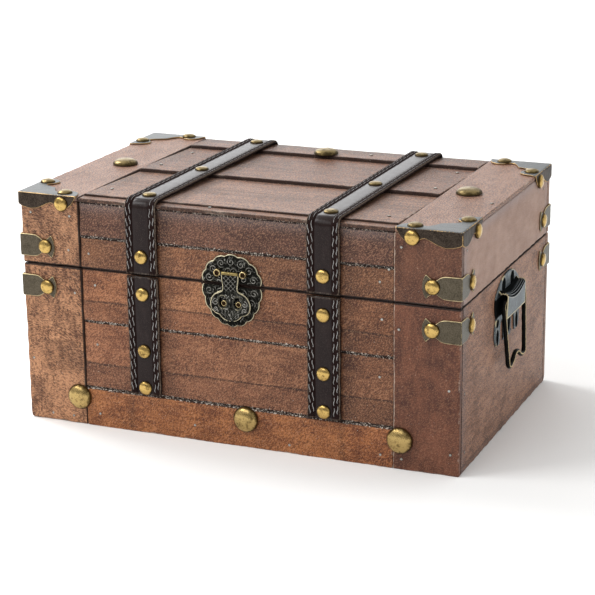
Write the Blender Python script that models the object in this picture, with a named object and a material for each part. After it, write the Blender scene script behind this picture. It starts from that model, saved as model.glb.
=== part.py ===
"""A small wooden storage trunk with a hinged lid, leather straps and brass nails.

The box stands on the plane z = 0 with its front towards -Y and its width along X.
Every length is in metres.  The wooden box is made of plain walls with boards laid
over the front and the lid.  Corner brackets, corner clips, straps, the latch, the
handles and the hinges are fitted round it.
"""

import math

import bmesh
import bpy
from mathutils import Vector

# The wooden box
trunk_width = 0.350
trunk_depth = 0.225
trunk_height = 0.180
seam_height = 0.1255
seam_gap = 0.0006
fit_gap = 0.0003
side_thickness = 0.008
front_thickness = 0.008
back_thickness = 0.006
bottom_thickness = 0.006
lid_panel_thickness = 0.005
edge_softness = 0.0006
cut_overrun = 0.0020
heel_radius = 0.005
seam_corner_radius = 0.003

# Boards on the front
cladding_thickness = 0.005
end_board_width = 0.0497
rail_height = 0.0307
base_split_share = 0.56
lid_split_share = 0.475
board_recess = 0.0006
board_slope = 0.0012
joint_width = 0.0008
joint_depth = 0.0010

# Boards on the lid
top_board_thickness = 0.003
front_strip_depth = 0.0097
front_strip_drop = 0.0003
board_rise = 0.0010
board_fall = 0.0016
rail_fall = 0.0005
wide_board_share = 0.422
second_board_share = 0.428

# Leather straps
strap_spacing = 0.1450
strap_width = 0.026
strap_thickness = 0.0025
strap_edge = 0.0008
strap_bend_radius = 0.003
strap_end_gap = 0.0008
strap_knuckle_gap = 0.0005
strap_nail_inset = 0.0145
strap_middle_nail_share = 0.46
strap_lid_nail_rise = 0.0140
strap_base_nail_shares = (0.145, 0.625, 0.94)

# Nails
nail_radius = 0.0055
nail_height = 0.0026
big_nail_radius = 0.0100
big_nail_height = 0.0046
low_nail_inset = 0.0445
low_nail_height = 0.0225
middle_nail_offset = 0.0094
end_nail_inset = 0.0310
rail_nail_offset = 0.0050
rail_nail_inset = 0.0053

# Corner brackets on the lid
bracket_thickness = 0.0010
bracket_reach = 0.050
bracket_side_reach = 0.046
bracket_drop_share = 0.2306
bracket_nail_reach = 0.0372
bracket_nail_gap = 0.0015
bracket_edge_shares = (
    (0.0, 0.76), (0.07, 0.90), (0.17, 0.99), (0.27, 1.0), (0.39, 0.86), (0.50, 0.64),
    (0.58, 0.57), (0.66, 0.72), (0.75, 0.88), (0.83, 0.83), (0.91, 0.58), (0.97, 0.22),
)
bracket_top_shares = (
    (0.98, 0.10), (0.93, 0.24), (0.83, 0.31), (0.72, 0.29), (0.64, 0.22), (0.57, 0.22),
    (0.50, 0.31), (0.44, 0.44),
)

# Corner clips above and below the seam
clip_reach = 0.0298
clip_height_share = 0.3173
clip_nail_reach = 0.0220
clip_lid_rise_share = 0.262
clip_base_fall = 0.0170
clip_edge_shares = (
    (0.43, 1.0), (0.54, 0.83), (0.63, 0.60), (0.74, 0.72), (0.84, 1.0),
    (0.92, 0.70), (0.98, 0.30),
)

# Latch
latch_thickness = 0.0012
latch_radius = 0.0245
latch_lid_rise_share = 0.406
latch_base_drop = 0.0312
latch_edge_gap = 0.0009
scallop_depth = 0.0013
lid_scallops = 7
base_scallops = 9
latch_rivet_radius = 0.0027
latch_rivet_height = 0.0036
latch_rivet_spacing = 0.0206
latch_pin_radius = 0.0008
latch_pin_rise_share = 0.359
latch_pin_stand_off = 0.0024
tongue_width = 0.0325
tongue_length = 0.0362
tongue_thickness = 0.0013
tongue_lift = 0.0020
tongue_barrel_radius = 0.0019
tongue_barrel_end_gap = 0.0009
tongue_shares = (
    (0.43, 0.03), (0.42, 0.14), (0.38, 0.26), (0.40, 0.35), (0.55, 0.39), (0.78, 0.44),
    (0.95, 0.55), (1.0, 0.66), (0.93, 0.78), (0.74, 0.85), (0.58, 0.865), (0.45, 0.93),
    (0.25, 0.985),
)
eye_spacing = 0.0116
eye_share = 0.63
eye_half_width = 0.0027
eye_half_height = 0.0038
post_radius = 0.0019
post_height = 0.0015

# Handles on the sides
handle_offset = 0.0020
handle_plate_thickness = 0.0010
handle_plate_half_width = 0.0315
handle_plate_top_gap = 0.0016
handle_plate_height = 0.0510
handle_plate_shares = (
    (0.0, 1.0), (0.34, 0.985), (0.62, 0.915), (0.84, 0.82), (0.97, 0.735), (1.0, 0.62),
    (0.96, 0.50), (0.90, 0.42), (0.96, 0.32), (1.0, 0.20), (0.97, 0.08), (0.86, 0.0),
    (0.75, 0.05), (0.69, 0.20), (0.64, 0.34), (0.52, 0.42), (0.40, 0.38), (0.33, 0.26),
    (0.24, 0.10), (0.0, 0.01),
)
handle_hole_spacing = 0.0220
handle_hole_drop = 0.0075
handle_hole_half_width = 0.0014
handle_hole_half_height = 0.0024
hood_end_gap = 0.0023
hood_drop = 0.0130
hood_clearance = 0.0005
hood_shoulder_rise = 0.0015
hood_lean = 0.0004
bail_radius = 0.0016
bail_top_width = 0.0530
bail_bottom_width = 0.0424
bail_drop = 0.0515
bail_stand_off = 0.0057
bail_lean = 0.0032
bail_pivot_drop = 0.0185
bail_corner_radius = 0.0032
bail_notch = 0.0065
bail_notch_shares = ((0.74, 0.10), (0.50, 0.38), (0.27, 0.80), (0.0, 1.0))

# Hinges on the back
hinge_spacing = 0.2360
hinge_width = 0.0360
hinge_leaf_height = 0.0200
hinge_leaf_thickness = 0.0012
hinge_knuckle_radius = 0.0026
hinge_knuckle_share = 0.36
hinge_pin_radius = 0.0011
hinge_bore_gap = 0.0003
hinge_screw_radius = 0.0022
hinge_screw_height = 0.0008
hinge_screw_inset = 0.0075

# Counts and an angle that set how finely the round shapes are cut and shaded
nail_sides = 12
big_nail_sides = 24
round_sides = 12
bend_steps = 6
scallop_steps = 6
curve_steps = 2
smooth_angle = 40

# Sizes worked out from the ones above
back_rail_share = 1 - wide_board_share - second_board_share
half_width = trunk_width / 2
half_depth = trunk_depth / 2
base_top = seam_height - seam_gap / 2
lid_bottom = seam_height + seam_gap / 2
cladding_back = -half_depth + cladding_thickness
front_wall_back = cladding_back + fit_gap + front_thickness
back_wall_front = half_depth - back_thickness
inner_half_width = half_width - side_thickness - fit_gap
end_board_inner = half_width - end_board_width
middle_half_width = end_board_inner - fit_gap
lid_wall_top = trunk_height - top_board_thickness - fit_gap
strap_bottom = trunk_height + board_rise + fit_gap
strap_outer_edge = strap_spacing / 2 + strap_width / 2
lid_height = trunk_height - lid_bottom
bracket_drop = lid_height * bracket_drop_share
bracket_nail_drop = nail_radius + bracket_nail_gap
clip_height = lid_height * clip_height_share
clip_lid_rise = lid_height * clip_lid_rise_share
seat_y = -half_depth + board_recess - fit_gap
latch_face = seat_y - latch_thickness
latch_lid_rise = lid_height * latch_lid_rise_share
latch_pin_y = latch_face - latch_pin_stand_off
latch_pin_z = lid_bottom + latch_edge_gap + latch_lid_rise * latch_pin_rise_share
tongue_barrel_length = latch_rivet_spacing - 2 * (latch_rivet_radius + tongue_barrel_end_gap)
handle_face = half_width + fit_gap + handle_plate_thickness
pivot_z = base_top - bail_pivot_drop
pivot_out = half_width + bail_stand_off
hood_width = bail_top_width - 2 * (bail_radius + hood_end_gap)
hinge_y = half_depth + fit_gap + hinge_knuckle_radius
strap_knuckle_room = hinge_knuckle_radius + strap_knuckle_gap

# Colour, roughness and metallic value of each look
looks = {
    "red_wood": ((0.20, 0.082, 0.042), 0.50, 0.0),
    "orange_wood": ((0.26, 0.105, 0.042), 0.48, 0.0),
    "tan_wood": ((0.27, 0.135, 0.075), 0.52, 0.0),
    "dark_wood": ((0.13, 0.058, 0.040), 0.50, 0.0),
    "lid_wood": ((0.27, 0.150, 0.115), 0.45, 0.0),
    "side_wood": ((0.19, 0.100, 0.078), 0.47, 0.0),
    "inner_wood": ((0.30, 0.190, 0.110), 0.65, 0.0),
    "leather": ((0.022, 0.014, 0.012), 0.42, 0.0),
    "brass": ((0.50, 0.36, 0.14), 0.30, 1.0),
    "bronze": ((0.115, 0.100, 0.066), 0.42, 0.9),
    "dark_bronze": ((0.060, 0.058, 0.046), 0.38, 0.9),
    "gunmetal": ((0.070, 0.080, 0.085), 0.36, 0.9),
}


def clear_scene():
    """Remove every object, so that the trunk is alone in the file."""
    for item in list(bpy.data.objects):
        bpy.data.objects.remove(item, do_unlink=True)


def make_material(name, look):
    """A Principled material with one of the looks above."""
    colour, roughness, metallic = looks[look]
    material = bpy.data.materials.new(name)
    material.use_nodes = True
    shader = material.node_tree.nodes["Principled BSDF"]
    shader.inputs["Base Color"].default_value = (*colour, 1.0)
    shader.inputs["Roughness"].default_value = roughness
    shader.inputs["Metallic"].default_value = metallic
    material.diffuse_color = (*colour, 1.0)
    return material


def make_object(name, shape, look):
    """Turn a bmesh into a named object with a material of its own."""
    mesh = bpy.data.meshes.new(name)
    shape.to_mesh(mesh)
    shape.free()
    item = bpy.data.objects.new(name, mesh)
    bpy.context.collection.objects.link(item)
    item.data.materials.append(make_material(name + "_look", look))
    return item


def place(axis, across, up, along):
    """A point of an outline that is extruded along the axis.

    Along X the outline lies in (y, z), along Y in (x, z) and along Z in (x, y).
    """
    if axis == "X":
        return Vector((along, across, up))
    if axis == "Y":
        return Vector((across, along, up))
    return Vector((across, up, along))


def extrude_outline(outline, axis, start, end):
    """A closed solid: one flat outline extruded along an axis."""
    shape = bmesh.new()
    near = [shape.verts.new(place(axis, u, v, start)) for u, v in outline]
    far = [shape.verts.new(place(axis, u, v, end)) for u, v in outline]
    shape.faces.new(near)
    shape.faces.new(far)
    for index in range(len(outline)):
        following = (index + 1) % len(outline)
        shape.faces.new((near[index], near[following], far[following], far[index]))
    bmesh.ops.recalc_face_normals(shape, faces=shape.faces)
    return shape


def extrude_object(name, outline, axis, start, end, look):
    """A named object made by extruding one outline."""
    return make_object(name, extrude_outline(outline, axis, start, end), look)


def evaluated_mesh(item):
    """The mesh that the object's modifiers give."""
    graph = bpy.context.evaluated_depsgraph_get()
    return bpy.data.meshes.new_from_object(item.evaluated_get(graph), depsgraph=graph)


def combine(item, pieces, operation):
    """Join the pieces to an object, or cut them out of it, and drop the pieces."""
    for piece in pieces:
        modifier = item.modifiers.new("combine", "BOOLEAN")
        modifier.operation = operation
        modifier.solver = "EXACT"
        modifier.material_mode = "TRANSFER"
        modifier.object = piece
    mesh = evaluated_mesh(item)
    item.modifiers.clear()
    item.data = mesh
    for piece in pieces:
        bpy.data.objects.remove(piece, do_unlink=True)
    return shade_round(item)


def shade_round(item):
    """Shade the rounded faces smooth and keep the real edges sharp."""
    item.data.shade_smooth()
    item.data.set_sharp_from_angle(angle=math.radians(smooth_angle))
    return item


def soften(item, width):
    """Break the sharp edges with one small chamfer."""
    modifier = item.modifiers.new("soften", "BEVEL")
    modifier.width = width
    modifier.segments = 1
    modifier.limit_method = "ANGLE"
    modifier.angle_limit = math.radians(smooth_angle)
    return item


def arc(centre_u, centre_v, radius, first, last, steps):
    """Points on a circle, from the first to the last angle in degrees."""
    points = []
    for step in range(steps + 1):
        angle = math.radians(first + (last - first) * step / steps)
        points.append((centre_u + radius * math.cos(angle), centre_v + radius * math.sin(angle)))
    return points


def rectangle(left, right, low, high, radii=(0, 0, 0, 0)):
    """A rectangle with its own radius at lower left, lower right, upper right, upper left."""
    corners = (
        (left, low, 1, 1, 180), (right, low, -1, 1, 270),
        (right, high, -1, -1, 0), (left, high, 1, -1, 90),
    )
    points = []
    for (u, v, side_u, side_v, first), radius in zip(corners, radii):
        if radius > 0:
            points += arc(u + side_u * radius, v + side_v * radius, radius, first, first + 90, 4)
        else:
            points.append((u, v))
    return points


def smooth_line(points, steps):
    """An open Catmull-Rom curve through the points."""
    ends = [points[0]] + list(points) + [points[-1]]
    result = []
    for index in range(1, len(ends) - 2):
        before, start, end, after = (Vector(ends[index + k]) for k in (-1, 0, 1, 2))
        for step in range(steps):
            t = step / steps
            pull = 2 * start + (end - before) * t
            bend = (2 * before - 5 * start + 4 * end - after) * t * t
            turn = (3 * start - before - 3 * end + after) * t ** 3
            result.append(tuple((pull + bend + turn) / 2))
    result.append(tuple(points[-1]))
    return result


def mirrored(points):
    """A right-hand line from top to bottom, closed with its left-hand mirror image."""
    left = [(-u, v) for u, v in reversed(points) if abs(u) > 0]
    return list(points) + left


def dome_mesh(centre, normal, radius, height, sunk, sides, rings):
    """A low dome on a round base that reaches down into what carries it."""
    shape = bmesh.new()
    turn = Vector((0, 0, 1)).rotation_difference(Vector(normal)).to_matrix()
    levels = [(radius, -sunk), (radius, 0)]
    for ring in range(1, rings):
        angle = math.radians(90) * ring / rings
        levels.append((radius * math.cos(angle), height * math.sin(angle)))
    loops = []
    for level_radius, level in levels:
        loop = []
        for side in range(sides):
            angle = 2 * math.pi * side / sides
            point = Vector((level_radius * math.cos(angle), level_radius * math.sin(angle), level))
            loop.append(shape.verts.new(Vector(centre) + turn @ point))
        loops.append(loop)
    apex = shape.verts.new(Vector(centre) + turn @ Vector((0, 0, height)))
    shape.faces.new(loops[0])
    for lower, upper in zip(loops, loops[1:]):
        for side in range(sides):
            following = (side + 1) % sides
            shape.faces.new((lower[side], lower[following], upper[following], upper[side]))
    for side in range(sides):
        shape.faces.new((loops[-1][side], loops[-1][(side + 1) % sides], apex))
    bmesh.ops.recalc_face_normals(shape, faces=shape.faces)
    return shape


def nail(centre, normal, carrier_thickness):
    """A domed nail head whose foot ends halfway down the sheet that carries it."""
    shape = dome_mesh(centre, normal, nail_radius, nail_height, carrier_thickness / 2, nail_sides, 3)
    return make_object("nail", shape, "brass")


def big_nail(name, centre, normal):
    """A large loose nail head that lies one fit gap off the wood."""
    lifted = Vector(centre) + Vector(normal) * (fit_gap + edge_softness)
    shape = dome_mesh(lifted, normal, big_nail_radius, big_nail_height, edge_softness, big_nail_sides, 3)
    return shade_round(make_object(name, shape, "brass"))


def cylinder(name, start, end, radius, sides, look):
    """A round bar along X between two points."""
    outline = [
        (start[1] + radius * math.cos(2 * math.pi * side / sides),
         start[2] + radius * math.sin(2 * math.pi * side / sides))
        for side in range(sides)
    ]
    return extrude_object(name, outline, "X", start[0], end[0], look)


def hinge_recesses(direction):
    """Cutters for the shallow recesses that the hinge leaves are let into.

    The direction is -1 for the base, below the seam, and 1 for the lid, above it.
    """
    low, high = sorted((seam_height, seam_height + direction * (hinge_leaf_height + fit_gap)))
    half = hinge_width / 2 + fit_gap
    cutters = []
    for side in (-1, 1):
        centre = side * hinge_spacing / 2
        outline = rectangle(centre - half, centre + half, low, high)
        cutters.append(extrude_object(
            "recess", outline, "Y", half_depth - hinge_leaf_thickness - fit_gap,
            half_depth + cut_overrun, "inner_wood"))
    return cutters


def make_base_walls():
    """The four walls of the base and the panel that it stands on."""
    side_outline = rectangle(cladding_back + fit_gap, back_wall_front - fit_gap, 0, base_top)
    outer = half_width - side_thickness
    walls = [
        extrude_object("base_left_wall", side_outline, "X", -half_width, -outer, "side_wood"),
        extrude_object("base_right_wall", side_outline, "X", outer, half_width, "side_wood"),
    ]
    front_outline = rectangle(cladding_back + fit_gap, front_wall_back, 0, base_top)
    walls.append(extrude_object(
        "base_front_wall", front_outline, "X", -inner_half_width, inner_half_width, "inner_wood"))
    back_outline = rectangle(
        back_wall_front, half_depth, 0, base_top, (0, min(heel_radius, back_thickness - fit_gap), 0, 0))
    back_wall = extrude_object(
        "base_back_wall", back_outline, "X", -half_width, half_width, "side_wood")
    walls.append(back_wall)
    panel_outline = rectangle(
        front_wall_back + fit_gap, back_wall_front - fit_gap, 0, bottom_thickness)
    walls.append(extrude_object(
        "base_bottom_panel", panel_outline, "X", -inner_half_width, inner_half_width, "inner_wood"))
    for wall in walls:
        soften(wall, edge_softness)
    combine(back_wall, hinge_recesses(-1), "DIFFERENCE")
    return walls


def make_lid_walls():
    """The four walls of the lid and its inner panel."""
    side_outline = rectangle(
        cladding_back + fit_gap, back_wall_front - fit_gap, lid_bottom, lid_wall_top)
    outer = half_width - side_thickness
    walls = [
        extrude_object("lid_left_wall", side_outline, "X", -half_width, -outer, "side_wood"),
        extrude_object("lid_right_wall", side_outline, "X", outer, half_width, "side_wood"),
    ]
    front_outline = rectangle(cladding_back + fit_gap, front_wall_back, lid_bottom, lid_wall_top)
    walls.append(extrude_object(
        "lid_front_wall", front_outline, "X", -inner_half_width, inner_half_width, "inner_wood"))
    back_outline = rectangle(back_wall_front, half_depth, lid_bottom, lid_wall_top)
    back_wall = extrude_object(
        "lid_back_wall", back_outline, "X", -half_width, half_width, "side_wood")
    walls.append(back_wall)
    panel_outline = rectangle(
        front_wall_back + fit_gap, back_wall_front - fit_gap,
        lid_wall_top - lid_panel_thickness, lid_wall_top)
    walls.append(extrude_object(
        "lid_inner_panel", panel_outline, "X", -inner_half_width, inner_half_width, "inner_wood"))
    for wall in walls:
        soften(wall, edge_softness)
    combine(back_wall, hinge_recesses(1), "DIFFERENCE")
    return walls


def lapped_board(name, low, high, look):
    """A front board that leans back a little, so that its lower edge stands proud."""
    lower_face = -half_depth + board_recess
    outline = (
        (cladding_back, low), (lower_face, low), (lower_face + board_slope, high), (cladding_back, high))
    board = extrude_object(name, outline, "X", -middle_half_width, middle_half_width, look)
    return soften(board, edge_softness)


def make_bottom_rail():
    """The rail along the foot of the front, with its two upright joints."""
    outline = rectangle(-half_depth, cladding_back, 0, rail_height)
    rail = extrude_object(
        "front_bottom_rail", outline, "X", -middle_half_width, middle_half_width, "orange_wood")
    joints = []
    overrun = cut_overrun
    for side in (-1, 1):
        centre = side * (strap_outer_edge + joint_width)
        groove = (
            (centre - joint_width / 2, -half_depth - joint_depth),
            (centre + joint_width / 2, -half_depth - joint_depth),
            (centre + joint_width / 2, -half_depth + joint_depth),
            (centre - joint_width / 2, -half_depth + joint_depth),
        )
        joints.append(extrude_object("joint", groove, "Z", -overrun, rail_height + overrun, "dark_wood"))
    return combine(soften(rail, edge_softness), joints, "DIFFERENCE")


def make_front_boards():
    """The boards of the base front and of the lid front."""
    base_split = rail_height + (base_top - rail_height) * base_split_share
    lid_split = lid_bottom + (lid_wall_top - lid_bottom) * lid_split_share
    base = [
        make_bottom_rail(),
        lapped_board("base_front_board_lower", rail_height + fit_gap, base_split, "orange_wood"),
        lapped_board("base_front_board_upper", base_split + fit_gap, base_top, "red_wood"),
    ]
    lid = [
        lapped_board("lid_front_board_lower", lid_bottom, lid_split, "orange_wood"),
        lapped_board("lid_front_board_upper", lid_split + fit_gap, lid_wall_top, "dark_wood"),
    ]
    radius = seam_corner_radius
    for side, side_name, look in ((-1, "left", "tan_wood"), (1, "right", "red_wood")):
        low_u, high_u = sorted((side * end_board_inner, side * half_width))
        rounds = (radius, 0, 0, radius) if side < 0 else (0, radius, radius, 0)
        outline = rectangle(low_u, high_u, 0, base_top, rounds)
        base.append(soften(extrude_object(
            "base_front_board_" + side_name, outline, "Y", -half_depth, cladding_back, look),
            edge_softness))
        rounds = (radius, 0, 0, 0) if side < 0 else (0, radius, 0, 0)
        outline = rectangle(low_u, high_u, lid_bottom, lid_wall_top, rounds)
        lid.append(soften(extrude_object(
            "lid_front_board_" + side_name, outline, "Y", -half_depth, cladding_back, look),
            edge_softness))
    return base, lid


def make_top_boards():
    """The lid's lapped boards between its two end boards."""
    bed = trunk_height - top_board_thickness
    span = trunk_depth - front_strip_depth
    strip_end = -half_depth + front_strip_depth
    wide_end = strip_end + span * wide_board_share
    second_end = strip_end + span * (wide_board_share + second_board_share)
    high = trunk_height + board_rise
    low = trunk_height - board_fall
    strip_top = trunk_height - front_strip_drop
    rail_top = trunk_height - rail_fall
    strip_radius = min(strap_bend_radius, strip_top - bed - edge_softness)
    rail_radius = min(strap_bend_radius, rail_top - bed - edge_softness)
    strip = [(-half_depth, bed), (strip_end - fit_gap, bed), (strip_end - fit_gap, strip_top)]
    strip += arc(-half_depth + strip_radius, strip_top - strip_radius, strip_radius, 90, 180, 4)
    rail = [(second_end, bed), (half_depth, bed)]
    rail += arc(half_depth - rail_radius, rail_top - rail_radius, rail_radius, 0, 90, 4)
    rail += [(second_end, high)]
    wide = ((strip_end, bed), (wide_end - fit_gap, bed), (wide_end - fit_gap, low), (strip_end, high))
    second = ((wide_end, bed), (second_end - fit_gap, bed), (second_end - fit_gap, low), (wide_end, high))
    boards = []
    for name, outline in (
            ("lid_top_front_strip", strip), ("lid_top_wide_board", wide),
            ("lid_top_second_board", second), ("lid_top_back_rail", rail)):
        board = extrude_object(name, outline, "X", -middle_half_width, middle_half_width, "lid_wood")
        boards.append(soften(board, edge_softness))
    for side, side_name in ((-1, "left"), (1, "right")):
        low_u, high_u = sorted((side * end_board_inner, side * half_width))
        outline = rectangle(low_u, high_u, -half_depth, half_depth)
        board = extrude_object("lid_top_end_board_" + side_name, outline, "Z", bed, trunk_height, "lid_wood")
        boards.append(soften(board, edge_softness))
    return boards


def strap_mesh(path, centre_x):
    """A leather strap swept along a path of (y, z) points with their outward normals."""
    half = strap_width / 2
    section = (
        (-half, 0), (half, 0), (half, strap_thickness - strap_edge),
        (half - strap_edge, strap_thickness), (-half + strap_edge, strap_thickness),
        (-half, strap_thickness - strap_edge),
    )
    shape = bmesh.new()
    loops = []
    for y, z, normal_y, normal_z in path:
        loops.append([
            shape.verts.new((centre_x + across, y + out * normal_y, z + out * normal_z))
            for across, out in section
        ])
    shape.faces.new(loops[0])
    shape.faces.new(loops[-1])
    for near, far in zip(loops, loops[1:]):
        for index in range(len(section)):
            following = (index + 1) % len(section)
            shape.faces.new((near[index], near[following], far[following], far[index]))
    bmesh.ops.recalc_face_normals(shape, faces=shape.faces)
    return shape


def lid_strap_path():
    """Up the front of the lid, over the top and down the back."""
    face = half_depth + fit_gap
    radius = strap_bend_radius
    path = [(-face, lid_bottom + strap_end_gap, -1, 0)]
    for y_side, first, last in ((-1, 180, 90), (1, 90, 0)):
        for step in range(bend_steps + 1):
            angle = math.radians(first + (last - first) * step / bend_steps)
            outward = (math.cos(angle), math.sin(angle))
            path.append((
                y_side * (face - radius) + radius * outward[0],
                strap_bottom - radius + radius * outward[1], *outward))
    path.append((face, seam_height + strap_knuckle_room, 1, 0))
    return path


def make_straps():
    """Two straps over the lid, and their lower lengths on the front and the back."""
    base = []
    lid = []
    nail_out = half_depth + fit_gap + strap_thickness
    top_nail_z = strap_bottom + strap_thickness
    inner_y = half_depth - strap_nail_inset
    middle_y = -inner_y + 2 * inner_y * strap_middle_nail_share
    lid_nail_z = lid_bottom + strap_lid_nail_rise
    low_end = rail_height + fit_gap + edge_softness
    high_end = base_top - strap_end_gap
    heights = [high_end - (high_end - low_end) * share for share in strap_base_nail_shares]
    for side, side_name in ((-1, "left"), (1, "right")):
        x = side * strap_spacing / 2
        strap = make_object("lid_strap_" + side_name, strap_mesh(lid_strap_path(), x), "leather")
        nails = [nail((x, y, top_nail_z), (0, 0, 1), strap_thickness) for y in (-inner_y, middle_y, inner_y)]
        nails += [nail((x, y * nail_out, lid_nail_z), (0, y, 0), strap_thickness) for y in (-1, 1)]
        lid.append(combine(strap, nails, "UNION"))
        for y, face_name, top in (
                (-1, "front", high_end), (1, "back", seam_height - strap_knuckle_room)):
            face = y * (half_depth + fit_gap)
            path = ((face, low_end, y, 0), (face, top, y, 0))
            strap = make_object(
                "base_strap_" + face_name + "_" + side_name, strap_mesh(path, x), "leather")
            nails = [nail((x, y * nail_out, z), (0, y, 0), strap_thickness) for z in heights]
            base.append(combine(strap, nails, "UNION"))
    return base, lid


def make_big_nails():
    """Three large nails low on the front and three on the lid."""
    face = -half_depth
    low = low_nail_height
    end_x = half_width - low_nail_inset
    top_x = half_width - end_nail_inset
    rail_y = half_depth - (trunk_depth - front_strip_depth) * back_rail_share + rail_nail_inset
    base = [
        big_nail("front_nail_left", (-end_x, face, low), (0, -1, 0)),
        big_nail("front_nail_middle", (middle_nail_offset, face, low), (0, -1, 0)),
        big_nail("front_nail_right", (end_x, face, low), (0, -1, 0)),
    ]
    lid = [
        big_nail("lid_nail_left", (-top_x, 0, trunk_height), (0, 0, 1)),
        big_nail("lid_nail_back", (-rail_nail_offset, rail_y, trunk_height + board_rise), (0, 0, 1)),
        big_nail("lid_nail_right", (top_x, 0, trunk_height), (0, 0, 1)),
    ]
    return base, lid


def make_corner_bracket(name, side_x, side_y):
    """A sheet bracket over the front or back, the side and the top of one lid corner."""
    thick = bracket_thickness
    corner_x = half_width + fit_gap + thick
    corner_y = half_depth + fit_gap + thick
    corner_z = trunk_height + fit_gap + thick
    edge = smooth_line(bracket_edge_shares, curve_steps)
    flanges = []
    outline = [(side_x * corner_x, corner_z)]
    outline += [(side_x * (corner_x - u * bracket_reach), corner_z - v * bracket_drop) for u, v in edge]
    outline.append((side_x * (corner_x - bracket_reach), corner_z))
    flanges.append(extrude_object(
        "flange", outline, "Y", side_y * corner_y, side_y * (corner_y - thick), "bronze"))
    outline = [(side_y * corner_y, corner_z)]
    outline += [
        (side_y * (corner_y - u * bracket_side_reach), corner_z - v * bracket_drop) for u, v in edge]
    outline.append((side_y * (corner_y - bracket_side_reach), corner_z))
    flanges.append(extrude_object(
        "flange", outline, "X", side_x * corner_x, side_x * (corner_x - thick), "bronze"))
    half_edge = [(1.0, 0.0)] + smooth_line(bracket_top_shares, curve_steps)
    inner = half_edge + [(v, u) for u, v in reversed(half_edge)]
    outline = [(side_x * corner_x, side_y * corner_y)]
    outline += [
        (side_x * (corner_x - u * bracket_reach), side_y * (corner_y - v * bracket_side_reach))
        for u, v in inner]
    top = extrude_object(name, outline, "Z", corner_z - thick, corner_z, "bronze")
    reach = bracket_nail_reach
    drop = bracket_nail_drop
    side_reach = reach * bracket_side_reach / bracket_reach
    pieces = flanges + [
        nail((side_x * (corner_x - reach), side_y * corner_y, corner_z - drop), (0, side_y, 0), thick),
        nail((side_x * corner_x, side_y * (corner_y - side_reach), corner_z - drop), (side_x, 0, 0), thick),
        nail((side_x * (corner_x - reach), side_y * (corner_y - drop), corner_z), (0, 0, 1), thick),
        nail((side_x * (corner_x - drop), side_y * (corner_y - side_reach), corner_z), (0, 0, 1), thick),
    ]
    return combine(top, pieces, "UNION")


def make_corner_clip(name, side_x, side_y, centre_z):
    """A strip round one corner whose ends open into a fish tail round a nail."""
    thick = bracket_thickness
    corner_x = half_width + fit_gap + thick
    corner_y = half_depth + fit_gap + thick
    half = clip_height / 2
    upper = [(0, 1)] + smooth_line(clip_edge_shares, curve_steps)
    whole = upper + [(u, -v) for u, v in reversed(upper)]
    outline = [(side_x * (corner_x - u * clip_reach), centre_z + v * half) for u, v in whole]
    front = extrude_object(name, outline, "Y", side_y * corner_y, side_y * (corner_y - thick), "bronze")
    outline = [(side_y * (corner_y - u * clip_reach), centre_z + v * half) for u, v in whole]
    side = extrude_object("side", outline, "X", side_x * corner_x, side_x * (corner_x - thick), "bronze")
    pieces = [
        side,
        nail((side_x * (corner_x - clip_nail_reach), side_y * corner_y, centre_z), (0, side_y, 0), thick),
        nail((side_x * corner_x, side_y * (corner_y - clip_nail_reach), centre_z), (side_x, 0, 0), thick),
    ]
    return combine(front, pieces, "UNION")


def make_corner_metal():
    """The four lid brackets, and a clip above and below the seam at each corner."""
    base = []
    lid = []
    for side_y, depth_name in ((-1, "front"), (1, "back")):
        for side_x, width_name in ((-1, "left"), (1, "right")):
            corner = depth_name + "_" + width_name
            lid.append(make_corner_bracket("lid_corner_bracket_" + corner, side_x, side_y))
            lid.append(make_corner_clip(
                "lid_corner_clip_" + corner, side_x, side_y, lid_bottom + clip_lid_rise))
            base.append(make_corner_clip(
                "base_corner_clip_" + corner, side_x, side_y, base_top - clip_base_fall))
    return base, lid


def scalloped_outline(flat_z, reach_z, count):
    """Half of an ellipse with a scalloped edge, flat along the seam."""
    total = count * scallop_steps
    height = abs(reach_z - flat_z)
    direction = 1 if reach_z > flat_z else -1
    points = []
    for step in range(total + 1):
        angle = math.pi * step / total
        dent = scallop_depth * (1 - abs(math.sin(count * angle)))
        across = (latch_radius - dent) * math.cos(angle)
        points.append((across, flat_z + direction * (height - dent) * math.sin(angle)))
    return points


def make_latch():
    """The scalloped plates of the latch and the tongue that hangs over them."""
    lid_flat = lid_bottom + latch_edge_gap
    base_flat = base_top - latch_edge_gap
    outline = scalloped_outline(lid_flat, lid_flat + latch_lid_rise, lid_scallops)
    lid_plate = extrude_object("latch_lid_plate", outline, "Y", seat_y, latch_face, "dark_bronze")
    half_pin = latch_rivet_spacing / 2
    rivets = []
    for side in (-1, 1):
        shape = dome_mesh(
            (side * half_pin, latch_face, latch_pin_z), (0, -1, 0), latch_rivet_radius,
            latch_rivet_height, latch_thickness / 2, round_sides, 3)
        rivets.append(make_object("rivet", shape, "brass"))
    pin = cylinder(
        "pin", (-half_pin, latch_pin_y, latch_pin_z), (half_pin, latch_pin_y, latch_pin_z),
        latch_pin_radius, round_sides, "brass")
    combine(lid_plate, rivets + [pin], "UNION")

    outline = scalloped_outline(base_flat, base_flat - latch_base_drop, base_scallops)
    base_plate = extrude_object("latch_base_plate", outline, "Y", seat_y, latch_face, "dark_bronze")
    eye_z = latch_pin_z - tongue_length * eye_share
    posts = []
    for side in (-1, 1):
        shape = dome_mesh(
            (side * eye_spacing / 2, latch_face, eye_z), (0, -1, 0), post_radius,
            post_height, latch_thickness / 2, round_sides, 3)
        posts.append(make_object("post", shape, "brass"))
    combine(base_plate, posts, "UNION")
    return base_plate, lid_plate, make_tongue(eye_z)


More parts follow.
